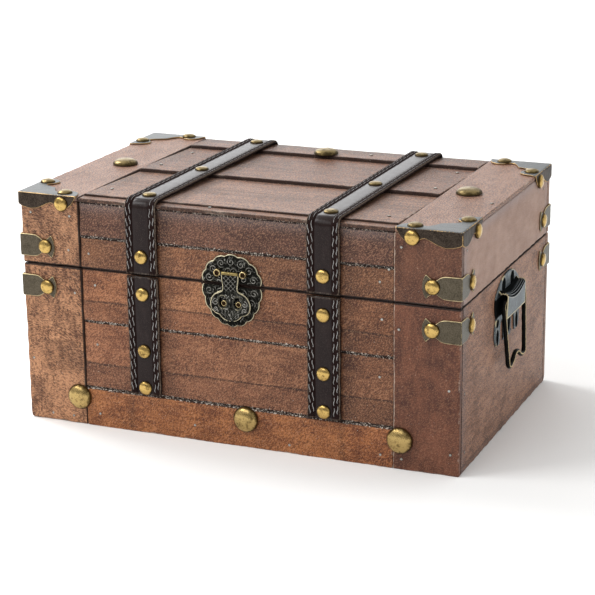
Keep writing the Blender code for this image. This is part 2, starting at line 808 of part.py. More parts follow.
def make_tongue(eye_z):
    """The hinged tongue: a barrel round the pin and a three-lobed plate with two eyes."""
    half = tongue_width / 2
    line = smooth_line(tongue_shares, curve_steps) + [(0, 1)]
    right = [(u * half, latch_pin_z - v * tongue_length) for u, v in line]
    top_z = latch_pin_z - (latch_pin_radius + tongue_barrel_radius) / 2
    right[0] = (right[0][0], top_z)
    outline = mirrored(right)
    back = latch_face - tongue_lift
    tongue = extrude_object("latch_tongue", outline, "Y", back, back - tongue_thickness, "dark_bronze")
    reach = tongue_barrel_length / 2
    left_end = (-reach, latch_pin_y, latch_pin_z)
    right_end = (reach, latch_pin_y, latch_pin_z)
    barrel = cylinder("barrel", left_end, right_end, tongue_barrel_radius, round_sides, "dark_bronze")
    bore = cylinder(
        "bore", (-reach - cut_overrun, *left_end[1:]), (reach + cut_overrun, *right_end[1:]),
        latch_pin_radius + fit_gap, round_sides, "dark_bronze")
    eyes = []
    for side in (-1, 1):
        eye = [
            (side * eye_spacing / 2 + eye_half_width * math.cos(2 * math.pi * step / round_sides),
             eye_z + eye_half_height * math.sin(2 * math.pi * step / round_sides))
            for step in range(round_sides)
        ]
        eyes.append(extrude_object(
            "eye", eye, "Y", back + cut_overrun, back - tongue_thickness - cut_overrun, "dark_bronze"))
    combine(tongue, [barrel], "UNION")
    return combine(tongue, [bore] + eyes, "DIFFERENCE")


def hood_outline(side):
    """The hooked section of the hood, in (x, z), that rolls over the top of the bail."""
    thick = handle_plate_thickness
    roll = bail_radius + hood_clearance + thick / 2
    middle = [(handle_face - thick / 2, pivot_z + roll + hood_shoulder_rise)]
    middle += arc(pivot_out, pivot_z, roll, 110, 0, 5)
    middle.append((pivot_out + roll - hood_lean, pivot_z - hood_drop))
    outer = []
    inner = []
    for index, point in enumerate(middle):
        before = Vector(middle[max(index - 1, 0)])
        after = Vector(middle[min(index + 1, len(middle) - 1)])
        along = (after - before).normalized()
        normal = Vector((-along.y, along.x)) * thick / 2
        outer.append((side * (point[0] + normal.x), point[1] + normal.y))
        inner.append((side * (point[0] - normal.x), point[1] - normal.y))
    return outer + inner[::-1]


def make_handle_plate(name, side):
    """The stamped plate of one handle with the hood that holds the bail."""
    centre = -handle_offset
    low = base_top - handle_plate_top_gap - handle_plate_height
    half = handle_plate_half_width
    right = [
        (u * half, low + v * handle_plate_height)
        for u, v in smooth_line(handle_plate_shares, 2)]
    outline = [(centre + u, v) for u, v in mirrored(right)]
    back = side * (half_width + fit_gap)
    plate = extrude_object(name, outline, "X", back, side * handle_face, "gunmetal")
    hole_z = low + handle_plate_height - handle_hole_drop
    holes = []
    for hole_side in (-1, 1):
        hole = [
            (centre + hole_side * handle_hole_spacing / 2
             + handle_hole_half_width * math.cos(2 * math.pi * step / round_sides),
             hole_z + handle_hole_half_height * math.sin(2 * math.pi * step / round_sides))
            for step in range(round_sides)
        ]
        holes.append(extrude_object(
            "hole", hole, "X", back - side * cut_overrun, side * (handle_face + cut_overrun), "gunmetal"))
    combine(plate, holes, "DIFFERENCE")
    hood = extrude_object(
        "hood", hood_outline(side), "Y", centre - hood_width / 2, centre + hood_width / 2, "gunmetal")
    return combine(plate, [hood], "UNION")


def bail_line():
    """The closed line of the bail wire, in (y, z) from its pivot."""
    top = bail_top_width / 2
    low = bail_bottom_width / 2
    radius = bail_corner_radius
    right = arc(top - radius, -radius, radius, 90, 0, 4)
    for share in (0.25, 0.5, 0.75):
        right.append((top + (low - top) * share, -radius - (bail_drop - 2 * radius) * share))
    right += arc(low - radius, -bail_drop + radius, radius, 0, -80, 4)
    dips = [(u * (low - radius), -bail_drop + v * bail_notch) for u, v in bail_notch_shares]
    right += smooth_line(dips, 2)
    left = [(-y, z) for y, z in reversed(right[:-1])]
    return right + left


def make_bail(name, side):
    """The wire bail, hanging with its lower end a little away from the side."""
    curve = bpy.data.curves.new(name, "CURVE")
    curve.dimensions = "3D"
    curve.bevel_depth = bail_radius
    curve.bevel_resolution = 2
    line = bail_line()
    spline = curve.splines.new("POLY")
    spline.points.add(len(line) - 1)
    spline.use_cyclic_u = True
    for point, (y, z) in zip(spline.points, line):
        point.co = (side * -z / bail_drop * bail_lean, y, z, 1)
    item = bpy.data.objects.new(name, curve)
    bpy.context.collection.objects.link(item)
    curve.materials.append(make_material(name + "_look", "gunmetal"))
    item.location = (side * pivot_out, -handle_offset, pivot_z)
    return item


def make_hinge(side_name, side):
    """A hinge on the back: the base leaf carries the pin and the lid leaf turns on it."""
    centre = side * hinge_spacing / 2
    half = hinge_width / 2
    middle_half = hinge_width * hinge_knuckle_share / 2
    leaf_back = half_depth - hinge_leaf_thickness
    leaf_face = half_depth
    clear = hinge_knuckle_radius + fit_gap
    screw_x = half - hinge_screw_inset
    leaves = []
    for name, direction in (("base_hinge_leaf_", -1), ("lid_hinge_leaf_", 1)):
        near = seam_height + direction * clear
        far = seam_height + direction * hinge_leaf_height
        low, high = sorted((near, far))
        outline = rectangle(centre - half, centre + half, low, high)
        leaf = extrude_object(name + side_name, outline, "Y", leaf_back, leaf_face, "bronze")
        if direction < 0:
            spans = ((-half, -middle_half - fit_gap), (middle_half + fit_gap, half))
        else:
            spans = ((-middle_half, middle_half),)
        pieces = []
        for start, end in spans:
            ends = [(centre + offset, hinge_y, seam_height) for offset in (start, end)]
            pieces.append(cylinder("knuckle", *ends, hinge_knuckle_radius, round_sides, "bronze"))
            low, high = sorted((seam_height, near + direction * hinge_leaf_thickness))
            outline = rectangle(centre + start + fit_gap, centre + end - fit_gap, low, high)
            pieces.append(extrude_object(
                "web", outline, "Y", leaf_back + fit_gap, hinge_y - hinge_knuckle_radius / 2, "bronze"))
        if direction < 0:
            ends = [(centre + offset, hinge_y, seam_height) for offset in (-half + fit_gap, half - fit_gap)]
            pieces.append(cylinder("pin", *ends, hinge_pin_radius, round_sides, "bronze"))
        combine(leaf, pieces, "UNION")
        cuts = []
        for offset in (-screw_x, screw_x):
            shape = dome_mesh(
                (centre + offset, leaf_face, (near + far) / 2), (0, -1, 0), hinge_screw_radius,
                hinge_screw_height, cut_overrun, round_sides, 2)
            cuts.append(make_object("screw_seat", shape, "bronze"))
        if direction > 0:
            ends = [(centre + offset, hinge_y, seam_height) for offset in (-half, half)]
            cuts.append(cylinder("bore", *ends, hinge_pin_radius + hinge_bore_gap, round_sides, "bronze"))
        leaves.append(combine(leaf, cuts, "DIFFERENCE"))
    return leaves


def make_axis(name, location):
    """An empty that marks a joint's axis."""
    axis = bpy.data.objects.new(name, None)
    axis.location = location
    bpy.context.collection.objects.link(axis)
    return axis


def hang_on(axis, items):
    """Parent the items to an axis and keep them where they are."""
    bpy.context.view_layer.update()
    for item in items:
        item.parent = axis
        item.matrix_parent_inverse = axis.matrix_world.inverted()


def build():
    """Make the whole trunk."""
    clear_scene()
    make_base_walls()
    lid = make_lid_walls()
    lid += make_front_boards()[1]
    lid += make_top_boards()
    lid += make_straps()[1]
    lid += make_big_nails()[1]
    lid += make_corner_metal()[1]
    base_plate, lid_plate, tongue = make_latch()
    lid.append(lid_plate)
    for side, side_name in ((-1, "left"), (1, "right")):
        make_handle_plate("handle_plate_" + side_name, side)
        make_bail("handle_bail_" + side_name, side)
        lid.append(make_hinge(side_name, side)[1])
    hang_on(make_axis("lid_axis", (0, hinge_y, seam_height)), lid)
    hang_on(make_axis("tongue_axis", (0, latch_pin_y, latch_pin_z)), [tongue])


build()
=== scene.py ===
# %% [markdown]
# A small wooden storage trunk, dressed for its photograph.
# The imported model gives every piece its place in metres: the front looks towards -Y, the width runs
# along X and the floor is z = 0. The wooden box is built up board by board, then comes the leather,
# and last the metal. Every new piece is a surface worked out with numpy.
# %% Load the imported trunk
import math

import bmesh
import bpy
import numpy as np
from mathutils import Matrix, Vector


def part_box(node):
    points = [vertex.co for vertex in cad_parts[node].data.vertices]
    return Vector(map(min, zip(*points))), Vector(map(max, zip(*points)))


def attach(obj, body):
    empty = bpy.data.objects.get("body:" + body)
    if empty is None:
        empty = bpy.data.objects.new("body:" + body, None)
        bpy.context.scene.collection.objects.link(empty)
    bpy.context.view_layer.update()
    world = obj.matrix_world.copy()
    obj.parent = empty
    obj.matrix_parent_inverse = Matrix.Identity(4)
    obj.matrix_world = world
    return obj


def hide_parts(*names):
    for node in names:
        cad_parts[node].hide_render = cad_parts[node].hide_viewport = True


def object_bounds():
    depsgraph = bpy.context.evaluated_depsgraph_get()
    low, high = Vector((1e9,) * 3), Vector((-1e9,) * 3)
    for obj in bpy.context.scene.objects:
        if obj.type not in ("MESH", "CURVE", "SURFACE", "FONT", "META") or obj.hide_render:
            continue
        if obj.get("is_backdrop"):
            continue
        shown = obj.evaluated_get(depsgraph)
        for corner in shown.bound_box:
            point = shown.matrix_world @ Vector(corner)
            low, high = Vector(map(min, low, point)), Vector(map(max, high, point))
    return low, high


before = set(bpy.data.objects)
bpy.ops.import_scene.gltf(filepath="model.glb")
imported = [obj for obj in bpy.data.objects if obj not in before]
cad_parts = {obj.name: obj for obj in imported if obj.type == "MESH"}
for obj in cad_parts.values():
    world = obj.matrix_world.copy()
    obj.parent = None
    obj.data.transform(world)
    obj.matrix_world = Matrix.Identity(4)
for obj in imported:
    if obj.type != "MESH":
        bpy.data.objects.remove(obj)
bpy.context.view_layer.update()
mm = 0.001

# %% [markdown]
# The photograph's view. The camera was worked out from the corners of the box: 23 degrees round
# from the front, 17 degrees up, with a long lens, so that the upright edges stay almost parallel. The
# focal length counts pixels of the picture. Setting the camera first means that each piece can be
# judged in the same view as the photograph.
# %% The camera
view_round = math.radians(22.923)
view_up = math.radians(16.880)
view_roll = math.radians(-0.667)
view_distance = 1492.313 * mm
view_focal = 1897.001
view_right = 3.988 * mm
view_rise = -5.924 * mm
view_height = 90 * mm
film_width = 36
picture_width = 595

back = np.array([
    math.sin(view_round) * math.cos(view_up),
    -math.cos(view_round) * math.cos(view_up),
    math.sin(view_up),
])
level_right = np.cross(-back, [0, 0, 1])
level_right /= np.linalg.norm(level_right)
level_up = np.cross(level_right, -back)
right = level_right * math.cos(view_roll) + level_up * math.sin(view_roll)
up = -level_right * math.sin(view_roll) + level_up * math.cos(view_roll)
eye = back * view_distance + right * view_right + up * view_rise + np.array([0, 0, view_height])

camera = bpy.data.objects.new("camera", bpy.data.cameras.new("camera"))
bpy.context.collection.objects.link(camera)
camera.data.sensor_width = film_width
camera.data.lens = view_focal * film_width / picture_width
camera.data.clip_start = 0.05
camera.data.clip_end = 50
turn = np.eye(4)
turn[:3, 0] = right
turn[:3, 1] = up
turn[:3, 2] = back
turn[:3, 3] = eye
camera.matrix_world = Matrix(turn.tolist())
bpy.context.scene.camera = camera
print("lens", round(camera.data.lens, 1), "mm, camera at", np.round(eye, 3))

# %% [markdown]
# Colours are given as screen values from 0 to 255, and the shader wants linear light, so one
# helper turns the first into the second.
# %% Screen colours to linear light
def tint(red, green, blue):
    """Linear light = ((screen / 255 + 0.055) / 1.055) to the power 2.4, with an opaque fourth value."""
    screen = np.array([red, green, blue]) / 255
    return (*((screen + 0.055) / 1.055) ** 2.4, 1.0)


print("mid brown is", np.round(tint(135, 99, 78), 3))

# %% [markdown]
# Shader maths reads best as plain sums. This class wraps one socket of a material: adding or
# multiplying two of them adds the Math node that does it, and node() makes any other node.
# %% A socket that can be added and multiplied
class Wire:
    """One socket of a node tree, or the bare tree when the socket is None."""

    def __init__(self, tree, socket=None):
        self.tree = tree
        self.socket = socket

    def node(self, kind, settings=None, inputs=None, out=0):
        """Make a node: first its settings, then the values or links of its sockets."""
        made = self.tree.nodes.new(kind)
        for name, value in (settings or {}).items():
            setattr(made, name, value)
        for name, value in (inputs or {}).items():
            if isinstance(value, Wire):
                self.tree.links.new(value.socket, made.inputs[name])
            else:
                made.inputs[name].default_value = value
        return Wire(self.tree, made.outputs[out])

    def sum_of(self, operation, first, second):
        """The Math node for one operation on two wires or numbers."""
        return self.node("ShaderNodeMath", {"operation": operation}, {0: first, 1: second})

    def __add__(self, other):
        return self.sum_of("ADD", self, other)

    def __radd__(self, other):
        return self.sum_of("ADD", other, self)

    def __sub__(self, other):
        return self.sum_of("SUBTRACT", self, other)

    def __rsub__(self, other):
        return self.sum_of("SUBTRACT", other, self)

    def __mul__(self, other):
        return self.sum_of("MULTIPLY", self, other)

    def between(self, low, high):
        """A soft step: 0 below low, 1 above high."""
        return self.node("ShaderNodeMapRange", {"interpolation_type": "SMOOTHSTEP"},
                         {"Value": self, "From Min": low, "From Max": high})

    def at_most(self, other):
        """The smaller of this and the other."""
        return self.sum_of("MINIMUM", self, other)

    def mix(self, low_colour, high_colour):
        """This wire as a mask: the first colour at 0, the second at 1."""
        return self.node("ShaderNodeMix", {"data_type": "RGBA"},
                         {0: self, 6: low_colour, 7: high_colour}, out=2)

    def inside(self, low, high, soft):
        """1 from low to high, with soft ends."""
        return self.between(low - soft, low + soft) * (1 - self.between(high - soft, high + soft))

    def times(self, colour, share):
        """This wire as a mask: where it is 1 the colour is multiplied by the share."""
        return self.node("ShaderNodeMix", {"data_type": "RGBA", "blend_type": "MULTIPLY"},
                         {0: self, 6: colour, 7: (*share, 1.0)}, out=2)

    def noise(self, scale, detail=3.0, rough=0.55, twist=0.0):
        """Cloudy noise on this place, about 0.5 in the middle; scale counts clouds per metre."""
        return self.node("ShaderNodeTexNoise", None,
                         {"Vector": self, "Scale": scale, "Detail": detail,
                          "Roughness": rough, "Distortion": twist})

    def stretch(self, scale, turn=(0, 0, 0), shift=(0, 0, 0)):
        """This place scaled, turned and shifted; a small scale draws a pattern out along its axis."""
        return self.node("ShaderNodeMapping", None,
                         {"Vector": self, "Scale": scale, "Rotation": turn, "Location": shift})

    def slanted(self, draw, turn):
        """This place turned first and drawn out afterwards, so that noise on it becomes strokes which
        lie along the turned Z axis."""
        return self.node("ShaderNodeMapping", {"vector_type": "TEXTURE"},
                         {"Vector": self, "Scale": (1, 1, draw), "Rotation": turn})

    def swirl(self, scale, reach):
        """This place pushed about by cloudy noise, so that strokes on it flow in curves."""
        push = self.node("ShaderNodeTexNoise", None, {"Vector": self, "Scale": scale, "Detail": 1.0},
                         out="Color")
        return self.node("ShaderNodeVectorMath", {"operation": "MULTIPLY_ADD"},
                         {0: push, 1: (reach, reach, reach), 2: self})

    def split(self, axis):
        """One axis of this place, named X, Y or Z."""
        return self.node("ShaderNodeSeparateXYZ", None, {"Vector": self}, out=axis)

    def mark(self, name):
        """A value that the mesh carries at its points, 0 where it carries none."""
        return self.node("ShaderNodeAttribute", {"attribute_name": name}, out="Fac")

    def bumped(self, strength, distance):
        """The surface direction bent by this wire taken as a height."""
        return self.node("ShaderNodeBump", None,
                         {"Height": self, "Strength": strength, "Distance": distance})


def new_material(name):
    """An empty material, the object's own place as a wire, and the material's main shader."""
    material = bpy.data.materials.new(name)
    material.use_nodes = True
    place = Wire(material.node_tree).node("ShaderNodeTexCoord", out="Object")
    return material, place, material.node_tree.nodes["Principled BSDF"]


def plug(shader, **sockets):
    """Set or link sockets of the main shader; an underscore stands for a space."""
    for name, value in sockets.items():
        socket = shader.inputs[name.replace("_", " ")]
        if isinstance(value, Wire):
            value.tree.links.new(value.socket, socket)
        else:
            socket.default_value = value


print("shader maths ready")

# %% [markdown]
# Stained wood is never one colour. Here broad clouds and smaller patches drift between a dark and a
# light stain, fine streaks run along the grain, and short fibres cross it at a slant. A fine grit
# leaves dark pores and pale specks. Rubbed lips turn pale, joints stay dark, and chips show bare wood.
# A picture of wood would repeat and blur close up, so every layer is noise that is read at the
# piece's own place.
# %% The wood finish
pore_brown = tint(52, 31, 24)
speck_tan = tint(192, 146, 112)
rubbed_wood = tint(186, 166, 150)
bare_wood = tint(206, 194, 180)
middle_tone = 0.395


def wood(name, dark, light, grain, seed, joint=tint(25, 16, 14), shine=0.36, fleck=0.8, areas=(),
         depth="Z", haze=None, fibres=0.28, lie=(0, 0.8, 0), draw=3.0, flow=0.012, streaks=0.75,
         streak_scale=420, clouds=0.95):
    """Stain = mix(dark, light, tone), where tone = the middle tone + clouds + streaks + fibres.

    Every area (x from, x to, height from, height to, share) multiplies it; depth="Y" measures the
    areas along Y in place of the height. Then come haze, pores and specks, rubbed lips (mark 'rub'),
    joints ('joint') and chips ('chip'). Fibres and grit are strokes that lie along the turned Z axis.
    """
    def drawn(share):
        """The place squeezed along the grain, which draws out the noise that is read there."""
        return own.stretch([share if axis == grain else 1 for axis in "XYZ"])

    material, place, shader = new_material(name)
    own = place.stretch((1, 1, 1), shift=(seed * 0.37, seed * 0.73, seed * 0.19))
    cloud = own.noise(24, 3, 0.6, 0.8)
    patch = drawn(0.5).noise(120, 3, 0.65)
    streak = drawn(0.1).noise(streak_scale, 4, 0.62)
    fibre = own.swirl(30, flow).slanted(draw, lie).noise(1200, 2, 0.6).between(0.38, 0.62)
    grit = own.slanted(draw * 0.7, lie).noise(1500, 1, 0.5)
    tone = (cloud + patch) * clouds + streak * streaks + fibre * fibres
    tone = tone + (middle_tone - clouds - streaks / 2 - fibres / 2)
    colour = tone.between(0.0, 0.78).mix(dark, light)
    wander = (own.stretch((0.25, 1, 1)).noise(160, 3) - 0.5) * 0.003
    for x_low, x_high, low, high, share in areas:
        inside = (place.split("X") + wander * 3).inside(x_low, x_high, 0.004)
        inside = inside * (place.split(depth) + wander).inside(low, high, 0.0004)
        colour = inside.times(colour, share)
    if haze is not None:
        colour = (place.mark("haze") * (0.35 + cloud * 0.9)).at_most(1.0).mix(colour, haze)
    pores = (1 - grit).between(0.48, 0.66) * fleck
    colour = (pores * 0.74).mix(colour, pore_brown)
    pale = grit.between(0.50, 0.68) * fleck
    colour = (pale * 0.40).mix(colour, speck_tan)
    chips = own.noise(700, 3, 0.7)
    rubbed = (place.mark("rub") + (chips - 0.5) * 0.9).between(0.35, 0.8)
    colour = (rubbed * 0.8).mix(colour, rubbed_wood)
    hidden = (place.mark("joint") + (chips - 0.5) * 0.7).between(0.3, 0.60)
    colour = (hidden * 0.92).mix(colour, joint)
    flakes = (own.noise(900, 2, 0.6) + place.mark("chip") * 0.19).between(0.725, 0.765)
    colour = (flakes * 0.8).mix(colour, bare_wood)
    relief = streak * 0.5 + fibre * 0.4 + grit * 0.5 - hidden * 0.9
    plug(shader, Base_Color=colour, Roughness=(shine + fibre * 0.14 + grit * 0.12 + hidden * 0.25),
         Normal=relief.bumped(0.5, 0.0005), Specular_IOR_Level=0.30)
    return material


print("wood finish ready")

# %% [markdown]
# A board is a box with worn edges. Blender's Bevel could round it, but then every edge is the same.
# Here the board is a lattice over the six sides of a box whose points are pulled onto rounded
# edges, and the radius wanders along the board as wear does. The lattice also carries marks for the
# finish: how near a point is to a worn lip, how deep it lies in a joint, and where haze or chips are.
# %% Lines, lattices and ripples
wear_waves = np.array([61, 23, 11, 5.3]) * mm
edge_wear = 0.5
lip_width = 1.6 * mm


def ripple(places, wavelengths, seed):
    """A smooth random height between about -1 and 1: the mean of one sine for each wavelength,
    each in a random direction with a random start."""
    dice = np.random.default_rng(seed)
    total = np.zeros(len(places))
    for wavelength in wavelengths:
        direction = dice.normal(size=3)
        direction /= np.linalg.norm(direction)
        total += np.sin(places @ direction * 2 * math.pi / wavelength + dice.uniform(0, 6.28))
    return total / len(wavelengths) ** 0.5


def grid_lines(low, high, edge, step):
    """Places from low to high: close together within the edge distance of both ends, then a step."""
    close = np.array([0, 0.12, 0.3, 0.55, 0.8, 1.05, 1.6, 2.4]) * edge
    close = close[close < (high - low) / 2 * 0.9]
    inner_low, inner_high = low + close[-1], high - close[-1]
    count = max(2, int(round((inner_high - inner_low) / step)) + 1)
    inner = np.linspace(inner_low, inner_high, count)
    return np.concatenate([low + close[:-1], inner, (high - close[:-1])[::-1]])


def box_lattice(lines):
    """The points and outward four-sided faces of a lattice on the six sides of a box.

    Each side is the grid of two of the three line sets; points are numbered by their place in the
    full lattice, so sides share the points of their common edges.
    """
    counts = [len(line) for line in lines]
    faces = []
    for axis in range(3):
        first, second = (axis + 1) % 3, (axis + 2) % 3
        i, j = np.meshgrid(np.arange(counts[first] - 1), np.arange(counts[second] - 1), indexing="ij")
        for end in (0, counts[axis] - 1):
            corners = []
            for di, dj in ((0, 0), (1, 0), (1, 1), (0, 1)):
                index = [None, None, None]
                index[axis] = np.full_like(i, end)
                index[first] = i + di
                index[second] = j + dj
                corners.append((index[0] * counts[1] + index[1]) * counts[2] + index[2])
            quads = np.stack(corners, axis=-1).reshape(-1, 4)
            faces.append(quads[:, ::-1] if end == 0 else quads)
    faces = np.concatenate(faces)
    used, faces = np.unique(faces, return_inverse=True)
    x, rest = np.divmod(used, counts[1] * counts[2])
    y, z = np.divmod(rest, counts[2])
    points = np.stack([lines[0][x], lines[1][y], lines[2][z]], axis=-1)
    return points, faces.reshape(-1, 4)


def put_mesh(name, points, faces, material, body, marks, stands_for=()):
    """Make a mesh object from whole arrays, give it its marks and finish, and let it ride on a body."""
    mesh = bpy.data.meshes.new(name)
    groups = faces if isinstance(faces, list) else [faces]
    sides = np.concatenate([np.full(len(group), group.shape[1]) for group in groups])
    corners = np.concatenate([group.ravel() for group in groups])
    mesh.vertices.add(len(points))
    mesh.vertices.foreach_set("co", np.asarray(points, float).ravel())
    mesh.loops.add(len(corners))
    mesh.loops.foreach_set("vertex_index", corners)
    mesh.polygons.add(len(sides))
    mesh.polygons.foreach_set("loop_start", np.cumsum(sides) - sides)
    mesh.polygons.foreach_set("loop_total", sides)
    mesh.update(calc_edges=True)
    mesh.validate()
    mesh.polygons.foreach_set("use_smooth", np.full(len(mesh.polygons), True))
    for mark, values in marks.items():
        mesh.attributes.new(mark, "FLOAT", "POINT").data.foreach_set("value", values.astype(float))
    mesh.materials.append(material)
    item = bpy.data.objects.new(name, mesh)
    bpy.context.collection.objects.link(item)
    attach(item, body)
    if stands_for:
        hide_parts(*stands_for)
    return item


def board(name, low, high, material, body, soft, seed, rub, marks, stands_for, shape=None,
          step=2.2):
    """A board with worn edges, its corners in metres, its softness and step in millimetres.

    inner = the point held inside the box shrunk by the radius; the new point = inner + radius *
    (point - inner) / its length. The radius is soft * (1 + edge wear * ripple). shape then bends the
    points, and every rule in marks gives one mark's values at the unbent points.
    """
    low, high = np.array(low), np.array(high)
    radius = min(soft * mm, (high - low).min() * 0.45)
    lines = [grid_lines(low[i], high[i], radius, step * mm) for i in range(3)]
    points, faces = box_lattice(lines)
    wander = ripple(points, wear_waves, seed)
    reach = radius * np.clip(1 + edge_wear * wander, 0.35, 1.9)[:, None]
    reach = np.minimum(reach, (high - low).min() * 0.49)
    inner = np.clip(points, low + reach, high - reach)
    away = points - inner
    length = np.linalg.norm(away, axis=1, keepdims=True)
    rounded = inner + reach * away / np.maximum(length, 1e-9)
    edge = np.sort(np.minimum(points - low, high - points), axis=1)[:, 1]
    lip = np.exp(-(edge / lip_width) ** 2) * rub * (1 + 0.7 * wander)
    held = {"rub": np.clip(lip, 0, 1)}
    for mark, rule in marks.items():
        held[mark] = np.clip(held.get(mark, 0) + rule(points), 0, 1)
    if shape is not None:
        rounded = shape(rounded)
    put_mesh(name, rounded, faces, material, body, held, stands_for)


print("boards ready")

# %% [markdown]
# The room is a pale floor under soft studio light. A white surround fills every side, brighter
# above, behind, and at both ends. The key light at the upper left gives the domes their highlights
# and throws the pale shadow to the right, two lights further back brighten the top and make the
# straps gleam, and a large card in front lifts the boards. Area lights are used because their size
# sets how soft the shadow is.
# %% Floor and light
def area_light(name, place, aim, size, power):
    """A square soft light at a place, turned so that it looks at the aim."""
    data = bpy.data.lights.new(name, "AREA")
    data.size = size
    data.energy = power
    light = bpy.data.objects.new(name, data)
    bpy.context.collection.objects.link(light)
    ahead = np.array(aim) - np.array(place)
    ahead /= np.linalg.norm(ahead)
    aside = np.cross(ahead, [0, 0, 1])
    aside /= np.linalg.norm(aside)
    turn = np.eye(4)
    turn[:3, 0] = aside
    turn[:3, 1] = np.cross(aside, ahead)
    turn[:3, 2] = -ahead
    turn[:3, 3] = place
    light.matrix_world = Matrix(turn.tolist())


world = bpy.data.worlds.new("studio")
bpy.context.scene.world = world
world.use_nodes = True
sky = Wire(world.node_tree).node("ShaderNodeTexCoord", out="Generated")
above = sky.split("Z").between(-0.2, 1.0) * 0.40
behind = sky.split("Y").between(-0.3, 1.0) * 0.46
at_left = (0.0 - sky.split("X")).between(0.1, 0.7) * 0.34
at_right = sky.split("X").between(0.2, 1.0) * 0.28
glow = above + behind + at_left + at_right + 0.23
world.node_tree.links.new(glow.socket, world.node_tree.nodes["Background"].inputs["Strength"])
world.node_tree.nodes["Background"].inputs["Color"].default_value = (1, 1, 1, 1)
trunk_middle = (0, 0, 0.1)
lid_middle = (0, 0, 0.15)
area_light("key", (-1.5, -1.0, 1.9), trunk_middle, size=1.1, power=28)
area_light("rear", (-1.7, 0.48, 1.75), trunk_middle, size=0.8, power=31)
area_light("gleam", (-1.17, 2.2, 0.85), lid_middle, size=1.4, power=9)
area_light("card", (-0.5, -1.9, 1.7), trunk_middle, size=1.2, power=10)
bpy.context.scene.view_settings.view_transform = "Standard"

floor_paint, place, shader = new_material("floor_paint")
plug(shader, Base_Color=(place.noise(3, 2) * 0.02).mix(tint(247, 247, 246), tint(240, 240, 240)),
     Roughness=0.9)
floor_half = 6.0
floor_corners = np.array([[-1, -1, 0], [1, -1, 0], [1, 1, 0], [-1, 1, 0]]) * floor_half
floor_mesh = bpy.data.meshes.new("floor")
floor_mesh.from_pydata(floor_corners.tolist(), [], [(0, 1, 2, 3)])
floor_mesh.materials.append(floor_paint)
floor = bpy.data.objects.new("floor", floor_mesh)
bpy.context.collection.objects.link(floor)
floor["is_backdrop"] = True
print("floor and", len(bpy.data.lights), "lights")

# %% [markdown]
# The front is clad with boards that lap a little, like siding: each one leans back towards its upper
# edge, so its lower lip stands proud and throws a dark broken line. The joint marks paint that line
# dark as well on both boards of each lap, partly as a dark joint and partly as painted shade. Beside
# the right edge of each strap the boards are painted darker, as the strap's painted shadow. Each board
# changes its stain from bay to bay and part way up, which the finish paints as areas between two
# widths and two heights.
# %% Boards on the front
board_slope = 1.2 * mm
seam_height = 125.5 * mm
latch_radius = 24.5
slit_reach = 4.0 * mm


def latch_slit_shade(points):
    """A painted shade mark: the wood seen through the slit that the latch's two plates leave over the
    seam is darkened as if in deep shade.
    """
    across = np.abs(points[:, 0]) < latch_radius * mm
    return 0.95 * across * (np.abs(points[:, 2] - seam_height) < slit_reach)


def fades(axis, place, reach, strength):
    """A mark that is full at a place along one axis and fades out over the reach."""
    def rule(points):
        return strength * np.exp(-((points[:, axis] - place) / reach) ** 2)
    return rule


def joints(low, high, sides, reach, strength):
    """A mark along the named sides of a board, such as "-z +x": full at the side, faded after the
    reach in millimetres."""
    def rule(points):
        total = np.zeros(len(points))
        for side in sides.split():
            axis = "xyz".index(side[1])
            place = low[axis] if side[0] == "-" else high[axis]
            total = np.maximum(total, fades(axis, place, reach * mm, strength)(points))
        return total
    return rule


def strongest(*rules):
    """One mark out of several: at each point the highest value that any of them gives."""
    def rule(points):
        return np.maximum.reduce([one(points) for one in rules])
    return rule


def lean(low, high, amount):
    """Push the front back by the amount times the share of the height, and let it sway a little."""
    def shape(points):
        share = (points[:, 2] - low[2]) / (high[2] - low[2])
        front = np.clip((high[1] - points[:, 1]) / (high[1] - low[1]), 0, 1)
        sway = ripple(points, np.array([45, 19, 8]) * mm, 3) * 0.18 * mm
        bent = points.copy()
        bent[:, 1] += (share * amount - sway) * front
        return bent
    return shape


whole = (-0.13, 0.13)
left_bay = (-0.13, -0.086)
right_bay = (0.086, 0.13)
low_lip, low_body = (0.030, 0.0505), (0.0505, 0.084)
high_lip, high_body = (0.083, 0.1002), (0.1002, 0.126)
rail, all_up = (0, 0.031), (0, 0.2)
# Painted shadow of the straps: every front board is darker in a band beside the right edge of each strap.
dirt_and_shade = ((-0.061, -0.048, *all_up, (0.72, 0.70, 0.70)), (0.085, 0.097, *all_up, (0.70, 0.68, 0.68)))
low_areas = dirt_and_shade + (
    (*whole, *low_lip, (0.82, 0.78, 0.80)), (*whole, 0.0498, 0.0513, (0.34, 0.32, 0.32)),
    (*left_bay, *low_body, (1.30, 1.24, 1.20)), (-0.06, 0.0, *low_body, (1.14, 1.14, 1.14)),
    (*right_bay, *low_body, (0.78, 0.74, 0.72)), (*right_bay, *low_lip, (0.70, 0.70, 0.68)),
)
high_areas = dirt_and_shade + (
    (*whole, *high_lip, (0.80, 0.78, 0.80)), (*whole, 0.0995, 0.1010, (0.34, 0.32, 0.32)),
    (-0.06, -0.02, *high_body, (1.18, 1.26, 1.26)), (*left_bay, *high_body, (1.06, 1.04, 1.02)),
    (0.015, 0.062, 0.083, 0.126, (0.76, 0.74, 0.74)), (*right_bay, 0.083, 0.126, (0.64, 0.62, 0.62)),
)
rail_areas = (
    (-0.13, 0.09, *rail, (1.20, 1.25, 1.18)), (-0.0866, -0.0854, *rail, (0.3, 0.3, 0.3)),
    (0.0854, 0.0866, *rail, (0.3, 0.3, 0.3)), (0.088, 0.13, *rail, (1.18, 1.18, 1.10)),
)
